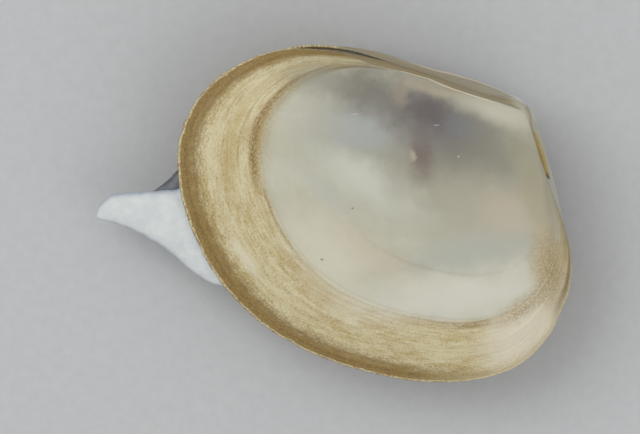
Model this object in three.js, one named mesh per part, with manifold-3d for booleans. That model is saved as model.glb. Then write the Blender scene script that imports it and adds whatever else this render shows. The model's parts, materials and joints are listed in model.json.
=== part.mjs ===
// A whole thin-shelled clam, lying on its right valve with the foot out at the front.
// Two valves are hinged by a short outer ligament behind the beaks. Between them lie the
// soft body, whose foot comes out through the gape, and a scrap of mantle edge above the foot.
//
// Millimetres, +Z up, origin under the middle of the bounding box, +X towards the hinge.
// The shell frame has its origin at the beaks, X and Y in the plane between the valves
// and +Z towards the left valve; the whole shell then leans as it rests on a level surface.
import * as THREE from 'three';
import { mergeVertices } from 'three/addons/utils/BufferGeometryUtils.js';
import Module from 'manifold-3d';

const wasm = await Module();
wasm.setup();

// Margin of a valve, seen square on, from the beak round by the ligament, the short hind end,
// the belly and the long rounded front end.
const MARGIN_LANDMARKS = [
  [0.1, 0.3], [1.0, -2.6], [2.1, -7.0], [3.6, -12.6], [4.6, -17.6], [4.5, -21.6], [2.9, -25.6],
  [-1.6, -29.2], [-8.6, -30.7], [-18.5, -29.3], [-27.6, -25.4], [-34.2, -18.7], [-37.8, -9.8],
  [-37.6, -2.4], [-34.0, 3.1], [-27.6, 6.4], [-19.8, 6.2], [-11.5, 4.15], [-5.0, 1.8],
];
const MARGIN_STEPS = 48;
const MIDDLE = new THREE.Vector2(-15.5, -12.0);

// Growth of a valve: every growth line is the margin made smaller about the beak and turned
// about the coiling axis, so the valve is deepest near the beak and flattens to its margin.
const COIL_DIRECTION = -43;
const COIL_TURN = 0.5;
const COIL_QUICKENING = 0.4;
const BEAK_HEIGHT = 2.2;
const GROWTH_STEPS = 20;
const INNER_STEPS = 13;
const STEP_CROWDING = 1.2;

// The wall is a smaller copy of the outside, thin at the margin and thicker at the dome.
const INNER_SPREAD = 0.97;
const INNER_DEPTH = 0.9;

// Hinge line, just outside the margin along the ligament, and how the valves stand on it.
const HINGE_POINT = new THREE.Vector3(1.7, -4.4, 0);
const HINGE_DIRECTION = -71;
const HALF_GAP = 0.2;
const GAPE = 5.2;
const CLEARANCE = 0.3;

// Lean of the resting shell, and the small worn flat under it.
const LEAN = 8;
const LEAN_TOWARDS = 48;
const FLAT_DEPTH = 0.1;

// Ligament: distance along the hinge line and radius.
const LIGAMENT_PROFILE = [[-2.4, 0.2], [-2.0, 0.36], [-0.8, 0.45], [1.4, 0.45], [2.8, 0.34], [3.3, 0.18]];
const LIGAMENT_SIDES = 16;

// Soft body: fills the right valve and is nearly level above it.
const BODY_SPREAD = 0.76;
const BODY_DEPTH = 0.84;
const BODY_CROWN = 0.06;
const BODY_STEPS = 8;
const BODY_SIDES = 32;

// Foot and mantle edge: centre x and y, half width and half thickness of each section.
const FOOT_SECTIONS = [
  [-47.2, -12.2, 0.3, 0.25], [-46.9, -12.0, 0.8, 0.6], [-46.0, -11.7, 1.4, 0.9],
  [-44.0, -11.9, 2.0, 1.1], [-41.3, -12.5, 2.8, 1.35], [-39.5, -13.0, 3.5, 1.5],
  [-37.5, -13.7, 4.6, 1.6], [-35.0, -14.4, 5.6, 1.7], [-31.0, -14.4, 6.3, 1.8],
  [-25.0, -13.8, 6.6, 1.8], [-20.0, -13.0, 5.0, 1.4],
];
const FOOT_STEPS = 22;
const MANTLE_SECTIONS = [
  [-41.0, -9.4, 0.1, 0.1], [-40.2, -9.1, 0.3, 0.22], [-39.2, -8.5, 0.65, 0.35],
  [-38.0, -7.7, 1.1, 0.4], [-36.0, -6.7, 1.5, 0.45], [-34.6, -6.2, 1.1, 0.35],
];
const MANTLE_STEPS = 12;
const SECTION_SIDES = 24;
const SECTION_SQUARENESS = 2.3;

const radians = THREE.MathUtils.degToRad;

/** Unit vector in the valve plane at an angle from +X. */
function heading(degrees) {
  return new THREE.Vector3(Math.cos(radians(degrees)), Math.sin(radians(degrees)), 0);
}

/** Evenly spaced points round the margin, starting at the beak. */
function marginPoints(count) {
  const landmarks = MARGIN_LANDMARKS.map(([x, y]) => new THREE.Vector3(x, y, 0));
  const curve = new THREE.CatmullRomCurve3(landmarks, true, 'centripetal');
  return curve.getSpacedPoints(count).slice(0, count);
}

/** The outer growth line at a stage from 0 (beak) to 1 (margin). */
function growthLine(margin, stage) {
  const along = heading(COIL_DIRECTION);
  const across = heading(COIL_DIRECTION - 90);
  const turn = (COIL_TURN / COIL_QUICKENING) * (1 - stage ** COIL_QUICKENING);
  const rise = BEAK_HEIGHT * (1 - stage ** 2);
  return margin.map((point) => {
    const reach = stage * point.dot(across);
    return new THREE.Vector3()
      .addScaledVector(along, stage * point.dot(along))
      .addScaledVector(across, reach * Math.cos(turn))
      .setZ(reach * Math.sin(turn) + rise);
  });
}

/** Growth stages from just past the beak to the margin, closer together near the beak. */
function stages(count) {
  return Array.from({ length: count }, (_, i) => ((i + 1) / count) ** STEP_CROWDING);
}

/** A copy of a ring drawn in towards the middle of the valve, with its height scaled. */
function drawnIn(ring, spread, depth) {
  return ring.map((p) => new THREE.Vector3(
    MIDDLE.x + spread * (p.x - MIDDLE.x),
    MIDDLE.y + spread * (p.y - MIDDLE.y),
    depth * p.z,
  ));
}

/** Closed skin over a run of rings with equal counts; a ring of one point closes an end. */
function skin(rings) {
  const faces = [];
  let start = 0;
  for (let r = 0; r + 1 < rings.length; r += 1) {
    const near = rings[r].length;
    const far = rings[r + 1].length;
    const sides = Math.max(near, far);
    for (let s = 0; s < sides; s += 1) {
      const t = (s + 1) % sides;
      if (far > 1) faces.push(start + (s % near), start + near + s, start + near + t);
      if (near > 1) faces.push(start + s, start + near + (t % far), start + t);
    }
    start += near;
  }
  const geometry = new THREE.BufferGeometry().setFromPoints(rings.flat());
  geometry.setIndex(enclosedVolume(rings.flat(), faces) < 0 ? faces.reverse() : faces);
  return geometry;
}

/** Six times the signed volume inside a closed skin. */
function enclosedVolume(points, faces) {
  let sum = 0;
  for (let f = 0; f < faces.length; f += 3) {
    const [a, b, c] = [points[faces[f]], points[faces[f + 1]], points[faces[f + 2]]];
    sum += a.dot(b.clone().cross(c));
  }
  return sum;
}

/** A solid for cutting and joining, from a closed geometry. */
function toSolid(geometry) {
  const bare = geometry.clone();
  bare.deleteAttribute('normal');
  bare.deleteAttribute('uv');
  const merged = mergeVertices(bare);
  return new wasm.Manifold(new wasm.Mesh({
    numProp: 3,
    vertProperties: new Float32Array(merged.attributes.position.array),
    triVerts: new Uint32Array(merged.index.array),
  }));
}

/** The geometry of a cut or joined solid. */
function toGeometry(solid) {
  const { vertProperties, triVerts } = solid.getMesh();
  const geometry = new THREE.BufferGeometry();
  geometry.setAttribute('position', new THREE.BufferAttribute(vertProperties, 3));
  geometry.setIndex(new THREE.BufferAttribute(triVerts, 1));
  geometry.computeVertexNormals();
  return geometry;
}

/** A valve's wall in the shell frame; side is +1 for the left valve and -1 for the right. */
function valveWall(side) {
  const margin = marginPoints(MARGIN_STEPS);
  const apex = [new THREE.Vector3(0, 0, BEAK_HEIGHT)];
  const outside = stages(GROWTH_STEPS).map((stage) => growthLine(margin, stage));
  const inside = stages(INNER_STEPS).reverse().map((stage) => growthLine(margin, stage));
  const rings = [
    apex,
    ...outside,
    ...inside.map((ring) => drawnIn(ring, INNER_SPREAD, INNER_DEPTH)),
    drawnIn(apex, INNER_SPREAD, INNER_DEPTH),
  ];
  rings.flat().forEach((p) => p.setZ(side * (p.z + HALF_GAP)));
  return skin(rings);
}

/** Turn of a valve about the hinge line, in degrees. */
function hingeTurn(degrees) {
  const turn = new THREE.Matrix4().makeRotationAxis(heading(HINGE_DIRECTION), radians(degrees));
  const there = new THREE.Matrix4().makeTranslation(HINGE_POINT);
  const back = there.clone().invert();
  return there.multiply(turn).multiply(back);
}

/** Places a solid that was turned about +Z onto the hinge line. */
function ontoHingeLine(geometry) {
  const align = new THREE.Quaternion().setFromUnitVectors(
    new THREE.Vector3(0, 1, 0),
    heading(HINGE_DIRECTION),
  );
  return geometry.applyQuaternion(align).translate(...HINGE_POINT);
}

/** Round bar along the hinge line, grown by a clearance all over. */
function ligamentBar(clearance) {
  const ends = [LIGAMENT_PROFILE[0][0], LIGAMENT_PROFILE.at(-1)[0]];
  const profile = [
    new THREE.Vector2(0, ends[0] - 0.1 - clearance),
    ...LIGAMENT_PROFILE.map(([along, radius]) => {
      const stretch = along < 0 ? -clearance : clearance;
      return new THREE.Vector2(radius + clearance, along + stretch);
    }),
    new THREE.Vector2(0, ends[1] + 0.1 + clearance),
  ];
  return ontoHingeLine(new THREE.LatheGeometry(profile, LIGAMENT_SIDES));
}

/** Flattened rounded body through sections of [x, y, half width, half thickness]. */
function blade(sections, count) {
  const spine = new THREE.CatmullRomCurve3(sections.map(([x, y]) => new THREE.Vector3(x, y, 0)));
  const girth = new THREE.CatmullRomCurve3(sections.map(([, , w, t]) => new THREE.Vector3(w, t, 0)));
  const round = (value) => Math.sign(value) * Math.abs(value) ** (2 / SECTION_SQUARENESS);
  const rings = Array.from({ length: count + 1 }, (_, i) => {
    const centre = spine.getPoint(i / count);
    const { x: halfWidth, y: halfThickness } = girth.getPoint(i / count);
    return Array.from({ length: SECTION_SIDES }, (__, s) => {
      const angle = (2 * Math.PI * s) / SECTION_SIDES;
      return new THREE.Vector3(
        centre.x,
        centre.y + halfWidth * round(Math.cos(angle)),
        halfThickness * round(Math.sin(angle)),
      );
    });
  });
  return skin([[spine.getPoint(0)], ...rings, [spine.getPoint(1)]]);
}

/** The soft mass that lies in the right valve. */
function bodyMass() {
  const margin = marginPoints(BODY_SIDES);
  const apex = [new THREE.Vector3(0, 0, BEAK_HEIGHT)];
  const lines = stages(BODY_STEPS).map((stage) => growthLine(margin, stage));
  const under = [apex, ...lines].map((ring) => drawnIn(ring, BODY_SPREAD, -BODY_DEPTH));
  const over = [apex, ...lines.slice(0, -1)].map((ring) => drawnIn(ring, BODY_SPREAD, BODY_CROWN));
  return skin([...under, ...over.reverse()]);
}

/** Block whose top is the surface that the shell stands on, a little above its lowest point. */
function floorBlock(geometry, pose) {
  const lowest = new THREE.Box3().setFromBufferAttribute(
    geometry.clone().applyMatrix4(pose).attributes.position,
  ).min.z;
  const size = 100;
  const block = new THREE.BoxGeometry(size, size, size);
  block.translate(MIDDLE.x, MIDDLE.y, lowest + FLAT_DEPTH - size / 2);
  return block.applyMatrix4(pose.clone().invert());
}

function part(name, geometry, finish, pose = new THREE.Matrix4()) {
  const mesh = new THREE.Mesh(geometry, new THREE.MeshStandardMaterial(finish));
  mesh.name = name;
  mesh.applyMatrix4(pose);
  return mesh;
}

const leanAxis = new THREE.Vector3().crossVectors(heading(LEAN_TOWARDS), new THREE.Vector3(0, 0, 1));
const lean = new THREE.Matrix4().makeRotationAxis(leanAxis.normalize(), radians(LEAN));
const rightTurn = hingeTurn(GAPE / 2);
const leftTurn = hingeTurn(-GAPE / 2);

const seat = toSolid(ligamentBar(CLEARANCE));
const rightWall = valveWall(-1);
const flatCutter = toSolid(floorBlock(rightWall, lean.clone().multiply(rightTurn)));
const rightValve = toGeometry(toSolid(rightWall).subtract(seat).subtract(flatCutter));
const leftValve = toGeometry(toSolid(valveWall(1)).subtract(seat));
const softBody = toGeometry(toSolid(bodyMass()).add(toSolid(blade(FOOT_SECTIONS, FOOT_STEPS))));

const clam = new THREE.Group();
clam.add(part('right_valve', rightValve, { color: 0xb5ab8c, roughness: 0.4 }, rightTurn));
clam.add(part('left_valve', leftValve, { color: 0xb5ab8c, roughness: 0.4 }, leftTurn));
clam.add(part('ligament', ligamentBar(0), { color: 0xa5741f, roughness: 0.45 }));
clam.add(part('soft_body', softBody, { color: 0xd9dcdc, roughness: 0.6 }));
clam.add(part('mantle_edge', blade(MANTLE_SECTIONS, MANTLE_STEPS), { color: 0x8b8f93, roughness: 0.5 }));
clam.applyMatrix4(lean);

clam.updateMatrixWorld(true);
const box = new THREE.Box3().setFromObject(clam, true);
const middle = box.getCenter(new THREE.Vector3());
clam.position.set(-middle.x, -middle.y, -box.min.z);

export default clam;
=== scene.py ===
"""Looks of a whole thin-shelled clam that lies on its right valve with its foot out at the front.

Shapes are worked out in the shell frame, in millimetres: its origin is at the beaks, X and Y lie in
the plane between the valves and +Z points to the left valve. The shell then gapes, leans as it
rests on a level floor and is placed, in metres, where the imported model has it.
"""

import json
import logging
from dataclasses import dataclass
from enum import Enum
from typing import Any, Callable

import bpy
import numpy as np
from mathutils import Matrix, Vector


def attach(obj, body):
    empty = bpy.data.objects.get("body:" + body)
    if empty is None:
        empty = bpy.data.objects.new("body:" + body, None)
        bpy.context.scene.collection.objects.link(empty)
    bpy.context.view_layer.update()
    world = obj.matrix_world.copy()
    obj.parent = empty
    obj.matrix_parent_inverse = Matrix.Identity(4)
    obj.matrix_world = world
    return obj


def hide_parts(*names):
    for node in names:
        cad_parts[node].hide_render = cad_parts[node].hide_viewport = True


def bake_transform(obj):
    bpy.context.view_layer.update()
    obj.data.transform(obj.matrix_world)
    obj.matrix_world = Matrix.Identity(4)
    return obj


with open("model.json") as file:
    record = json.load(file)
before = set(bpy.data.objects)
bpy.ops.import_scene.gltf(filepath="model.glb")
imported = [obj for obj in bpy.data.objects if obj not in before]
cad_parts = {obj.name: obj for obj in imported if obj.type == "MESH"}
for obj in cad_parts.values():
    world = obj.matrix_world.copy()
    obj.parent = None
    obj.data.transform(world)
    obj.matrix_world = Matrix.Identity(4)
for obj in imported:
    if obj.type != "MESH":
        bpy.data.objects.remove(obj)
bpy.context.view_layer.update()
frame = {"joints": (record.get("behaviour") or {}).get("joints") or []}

Array = np.ndarray
Colour = tuple[float, float, float, float]
Socket = bpy.types.NodeSocket
LOG = logging.getLogger("clam")
MILLIMETRE = 0.001


def rgb(red: int, green: int, blue: int) -> Colour:
    """Linear colour of a display colour given in steps of 0 to 255.

    Args:
        red, green, blue: the display colour.

    Returns:
        The linear red, green, blue and a full alpha.
    """
    share = np.array([red, green, blue]) / 255.0
    linear = np.where(share > 0.04045, ((share + 0.055) / 1.055) ** 2.4, share / 12.92)
    return (float(linear[0]), float(linear[1]), float(linear[2]), 1.0)


# ---------------------------------------------------------------------------------------------
# Curves, waves and grids
# ---------------------------------------------------------------------------------------------


def heading(degrees: float) -> Array:
    """Unit vector in the valve plane at an angle from +X.

    Args:
        degrees: the angle from +X, in degrees.

    Returns:
        The unit vector.
    """
    return np.array([np.cos(np.radians(degrees)), np.sin(np.radians(degrees)), 0.0])


def turning(axis: Array, degrees: float) -> Array:
    """Matrix of a turn about an axis: cos I + sin [axis] + (1 - cos) axis axis'.

    Args:
        axis: direction of the axis.
        degrees: angle of the turn.

    Returns:
        A 3 by 3 matrix.
    """
    x, y, z = np.asarray(axis) / np.linalg.norm(axis)
    angle = np.radians(degrees)
    cross = np.array([[0, -z, y], [z, 0, -x], [-y, x, 0]])
    along = np.outer([x, y, z], [x, y, z])
    return np.cos(angle) * np.eye(3) + np.sin(angle) * cross + (1 - np.cos(angle)) * along


def smoothstep(value: Array, low: float, high: float) -> Array:
    """Rise from 0 at low to 1 at high with level ends: t^2 (3 - 2t).

    Args:
        value: the values to step.
        low: where the rise begins.
        high: where the rise ends.

    Returns:
        A value from 0 to 1.
    """
    t = np.clip((value - low) / (high - low), 0.0, 1.0)
    return t * t * (3 - 2 * t)


def bell(value: Array, centre: Any, half_width: Any) -> Array:
    """Bell of height 1: exp(-(distance / half width)^2).

    Args:
        value: the values to weigh.
        centre: the middle of the bell.
        half_width: where the bell falls to 1/e.

    Returns:
        The height of the bell.
    """
    return np.exp(-(((value - centre) / half_width) ** 2))


def wander(phase: Array, seed: int, period: int = 4096) -> Array:
    """Smooth seeded wave: a value from -1 to 1 at each whole phase, eased between neighbours.

    Args:
        phase: where to read the wave.
        seed: picks the wave.
        period: whole phases after which the wave repeats.

    Returns:
        The wave's height, in the shape of phase.
    """
    table = np.random.default_rng(seed).uniform(-1, 1, period)
    whole = np.floor(phase).astype(int)
    t = smoothstep(phase - whole, 0.0, 1.0)
    return table[whole % period] * (1 - t) + table[(whole + 1) % period] * t


def ripples(points: Array, wavelength: float, seed: int, count: int = 7) -> Array:
    """Lumpy field in space: the mean of plane sine waves in seeded directions.

    Args:
        points: positions, as rows of x, y and z.
        wavelength: mean distance from crest to crest, in the units of points.
        seed: picks the directions and phases.
        count: number of waves.

    Returns:
        A height from about -1 to 1 for each point.
    """
    rng = np.random.default_rng(seed)
    ways = rng.normal(size=(count, 3))
    ways /= np.linalg.norm(ways, axis=1, keepdims=True)
    rates = 2 * np.pi / (wavelength * rng.uniform(0.6, 1.5, count))
    phases = rng.uniform(0, 2 * np.pi, count)
    return np.sin(points @ (ways * rates[:, None]).T + phases).sum(1) / np.sqrt(count)


def catmull_rom(points: Array, closed: bool, where: Array) -> Array:
    """Centripetal Catmull-Rom curve: between two points it is the cubic whose end slopes come from
    the spacing of the four nearest points, each spacing being the square root of a distance.

    Args:
        points: the points that the curve passes through.
        closed: whether the last point joins the first.
        where: positions counted in points, so 1.5 is half-way from the second to the third.

    Returns:
        A point for each entry of where.
    """
    count = len(points)
    if closed:
        padded = points[np.arange(-1, count + 2) % count]
    else:
        padded = np.vstack([2 * points[0] - points[1], points, 2 * points[-1] - points[-2]])
    index = np.clip(np.floor(where).astype(int), 0, count - (1 if closed else 2))
    t = (where - index)[:, None]
    a, b, c, d = (padded[index + k] for k in range(4))
    s0, s1, s2 = (
        np.sqrt(np.linalg.norm(q - p, axis=1, keepdims=True)) for p, q in ((a, b), (b, c), (c, d))
    )
    leave = s1 * ((b - a) / s0 - (c - a) / (s0 + s1) + (c - b) / s1)
    reach = s1 * ((c - b) / s1 - (d - b) / (s1 + s2) + (d - c) / s2)
    square = 3 * (c - b) - 2 * leave - reach
    cube = 2 * (b - c) + leave + reach
    return b + leave * t + square * t**2 + cube * t**3


def crowded(count: int, density: Callable[[Array], Array]) -> Array:
    """Values from 0 to 1 that lie closer together where a density is higher, found by reading
    the running sum of the density backwards.

    Args:
        count: number of steps.
        density: how many values are wanted at each place, relative to the others.

    Returns:
        count + 1 rising values.
    """
    fine = np.linspace(0, 1, 4001)
    weight = density((fine[1:] + fine[:-1]) / 2)
    total = np.concatenate([[0.0], np.cumsum(weight)])
    return np.interp(np.linspace(0, 1, count + 1), total / total[-1], fine)


def ring_quads(rows: int, columns: int, start: int = 0) -> Array:
    """Quads of a grid of rows by columns points, whose columns close round on themselves.

    Args:
        rows: the number of rows.
        columns: the number of points in a row.
        start: the index of the first point.

    Returns:
        The corner indices of each quad.
    """
    row, column = np.meshgrid(np.arange(rows - 1), np.arange(columns), indexing="ij")
    after = (column + 1) % columns
    here = start + row * columns
    corners = [here + column, here + after, here + columns + after, here + columns + column]
    return np.stack(corners, axis=-1).reshape(-1, 4)


def cap_triangles(ring: int, columns: int, pole: int, rising: bool) -> Array:
    """Triangles that close one ring of points onto a pole.

    Args:
        ring: index of the ring's first point.
        columns: points in the ring.
        pole: index of the pole.
        rising: whether the pole comes after the ring in the run of rings.

    Returns:
        Rows of three indices that face the way ring_quads does.
    """
    column = np.arange(columns)
    here, after = ring + column, ring + (column + 1) % columns
    apex = np.full(columns, pole)
    return np.stack([here, after, apex] if rising else [after, here, apex], axis=1)


def unit_normals(grid: Array) -> Array:
    """Unit normals of a grid of rows by closed columns, from the cross product of its tangents.

    Args:
        grid: the surface points, by row and column.

    Returns:
        A unit vector for each point.
    """
    down = np.gradient(grid, axis=0)
    round_ = np.roll(grid, -1, axis=1) - np.roll(grid, 1, axis=1)
    normal = np.cross(round_, down)
    return normal / np.maximum(np.linalg.norm(normal, axis=2, keepdims=True), 1e-12)


def new_mesh(name: str, points: Array, quads: Array, triangles: Array) -> bpy.types.Mesh:
    """Smooth-shaded mesh from points in metres, with quads before triangles.

    Args:
        name: name of the mesh.
        points: rows of x, y and z.
        quads: rows of four indices.
        triangles: rows of three indices.

    Returns:
        The mesh.
    """
    mesh = bpy.data.meshes.new(name)
    mesh.from_pydata(points.tolist(), [], quads.tolist() + triangles.tolist())
    mesh.polygons.foreach_set("use_smooth", np.ones(len(mesh.polygons), bool))
    mesh.update()
    return mesh


def new_object(name: str, mesh: bpy.types.Mesh, materials: list[bpy.types.Material]) -> bpy.types.Object:
    """Object at the origin that shows a mesh in the given materials.

    Args:
        name: the name of the object.
        mesh: its mesh.
        materials: its materials, by slot.

    Returns:
        The object, linked to the scene.
    """
    made = bpy.data.objects.new(name, mesh)
    bpy.context.scene.collection.objects.link(made)
    for material in materials:
        mesh.materials.append(material)
    return made


def growth_uv(mesh: bpy.types.Mesh, faces: list[Array], around: Array, stage: Array, plan: Array) -> None:
    """Gives a mesh two maps: growth (share of the way round, stage) and plan (x, y in mm).

    The share runs from 0 to 1 round each growth line, so a face that crosses the beak line takes
    the shares just above 1 there, and a pole takes the mean of its face's other corners.

    Args:
        mesh: the mesh, whose faces come in the order of faces.
        faces: arrays of quads and triangles.
        around: share round the growth line at each vertex, or NaN at a pole.
        stage: growth stage at each vertex.
        plan: x and y of each vertex in the valve plane, in mm.
    """
    growth_rows = []
    plan_rows = []
    for corners in faces:
        share = around[corners]
        wraps = np.nanmax(share, axis=1) - np.nanmin(share, axis=1) > 0.5
        share = np.where(wraps[:, None] & (share < 0.5), share + 1.0, share)
        share = np.where(np.isnan(share), np.nanmean(share, axis=1)[:, None], share)
        growth_rows.append(np.stack([share, stage[corners]], axis=-1).reshape(-1, 2))
        plan_rows.append(plan[corners].reshape(-1, 2))
    for name, rows in (("growth", growth_rows), ("plan", plan_rows)):
        layer = mesh.uv_layers.new(name=name)
        layer.data.foreach_set("uv", np.concatenate(rows).astype(np.float32).ravel())


# ---------------------------------------------------------------------------------------------
# Where the shell stands, and how a valve grows
# ---------------------------------------------------------------------------------------------


@dataclass(frozen=True)
class ShellFrame:
    """Places shell-frame points, in mm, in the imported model's frame, in metres."""

    joint_position: tuple[float, float, float]
    hinge_point: tuple[float, float, float] = (1.7, -4.4, 0.0)
    hinge_direction: float = -71.0
    gape: float = 5.2
    lean: float = 8.0
    lean_towards: float = 48.0

    def lean_matrix(self) -> Array:
        """Turn of the whole shell as it rests.

        Returns:
            A 3 by 3 matrix.
        """
        axis = np.cross(heading(self.lean_towards), [0.0, 0.0, 1.0])
        return turning(axis, self.lean)

    def origin(self) -> Array:
        """The beaks' place, in mm, from the hinge's place and its offset from the beaks.

        Returns:
            The place of the beaks.
        """
        hinge = np.array(self.joint_position) / MILLIMETRE
        return hinge - self.lean_matrix() @ np.array(self.hinge_point)

    def place(self, points: Array, side: int = 0) -> Array:
        """Turns points about the hinge line for their valve, leans them and moves them.

        Args:
            points: shell-frame points, in mm.
            side: 1 for the left valve, -1 for the right valve, 0 for what turns with neither.

        Returns:
            The points in the model's frame, in metres.
        """
        hinge = np.array(self.hinge_point)
        open_turn = turning(heading(self.hinge_direction), -side * self.gape / 2)
        opened = (points - hinge) @ open_turn.T + hinge
        return (opened @ self.lean_matrix().T + self.origin()) * MILLIMETRE


@dataclass(frozen=True)
class Margin:
    """Margin of a valve seen square on, from the beak round by the ligament, hind end and belly."""

    landmarks: tuple[tuple[float, float], ...] = (
        (0.1, 0.3), (1.0, -2.6), (2.1, -7.0), (3.6, -12.6), (4.6, -17.6), (4.5, -21.6), (2.9, -25.6),
        (-1.6, -29.2), (-8.6, -30.7), (-18.5, -29.3), (-27.6, -25.4), (-34.2, -18.7), (-37.8, -9.8),
        (-37.6, -2.4), (-34.0, 3.1), (-27.6, 6.4), (-19.8, 6.2), (-11.5, 4.15), (-5.0, 1.8),
    )
    samples: int = 4000

    def points(self, around: Array) -> Array:
        """Points at shares of the margin's length, read off the running length of a fine curve.

        Args:
            around: the share round the margin.

        Returns:
            A point for each share.
        """
        landmarks = np.array(self.landmarks)
        path = catmull_rom(landmarks, True, np.linspace(0, len(landmarks), self.samples + 1))
        steps = np.linalg.norm(np.diff(path, axis=0), axis=1)
        share = np.concatenate([[0.0], np.cumsum(steps)]) / steps.sum()
        return np.stack([np.interp(around, share, path[:, k]) for k in range(2)], axis=1)

    def outward(self, around: Array) -> Array:
        """Outward unit normals in the valve plane: the direction of travel turned a quarter left.

        Args:
            around: the share round the margin.

        Returns:
            A unit vector for each share.
        """
        step = 0.002
        travel = self.points((around + step) % 1.0) - self.points((around - step) % 1.0)
        left = np.stack([-travel[:, 1], travel[:, 0]], axis=1)
        return left / np.linalg.norm(left, axis=1, keepdims=True)


@dataclass(frozen=True)
class GrowthLaw:
    """Every growth line is the margin made smaller about the beak and turned about one axis.

    At stage g the part of a margin point along the coiling axis is a, and across it b. The point
    is then g a along, g b cos(turn) across and g b sin(turn) + rise high, where the turn is
    (coil turn / quickening)(1 - g^quickening) and the rise is beak height (1 - g^2).
    """

    coil_direction: float = -43.0
    coil_turn: float = 0.5
    quickening: float = 0.4
    beak_height: float = 2.2
    half_gap: float = 0.2
    middle: tuple[float, float] = (-15.5, -12.0)

    def surface(self, margin: Array, stage: Array) -> Array:
        """Outer surface of a left valve.

        Args:
            margin: margin points, rows of x and y, of shape (columns, 2) or (rows, columns, 2).
            stage: stages of shape (rows, columns).

        Returns:
            Points of shape (rows, columns, 3), without the gap between the valves.
        """
        along = heading(self.coil_direction)[:2]
        across = heading(self.coil_direction - 90)[:2]
        turn = self.coil_turn / self.quickening * (1 - stage**self.quickening)
        flat = stage * (margin @ along)
        reach = stage * (margin @ across)
        ground = flat[..., None] * along + (reach * np.cos(turn))[..., None] * across
        height = reach * np.sin(turn) + self.beak_height * (1 - stage**2)
        return np.concatenate([ground, height[..., None]], axis=-1)

    def drawn_in(self, points: Array, spread: Any, depth: float) -> Array:
        """Points drawn in towards the middle of the valve, with their height scaled.

        Args:
            points: the points.
            spread: the size in the plane.
            depth: the scale of the height.

        Returns:
            The moved points.
        """
        middle = np.array(self.middle)
        ground = middle + np.asarray(spread)[..., None] * (points[..., :2] - middle)
        return np.concatenate([ground, depth * points[..., 2:]], axis=-1)


# ---------------------------------------------------------------------------------------------
# Shader graphs
# ---------------------------------------------------------------------------------------------


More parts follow.
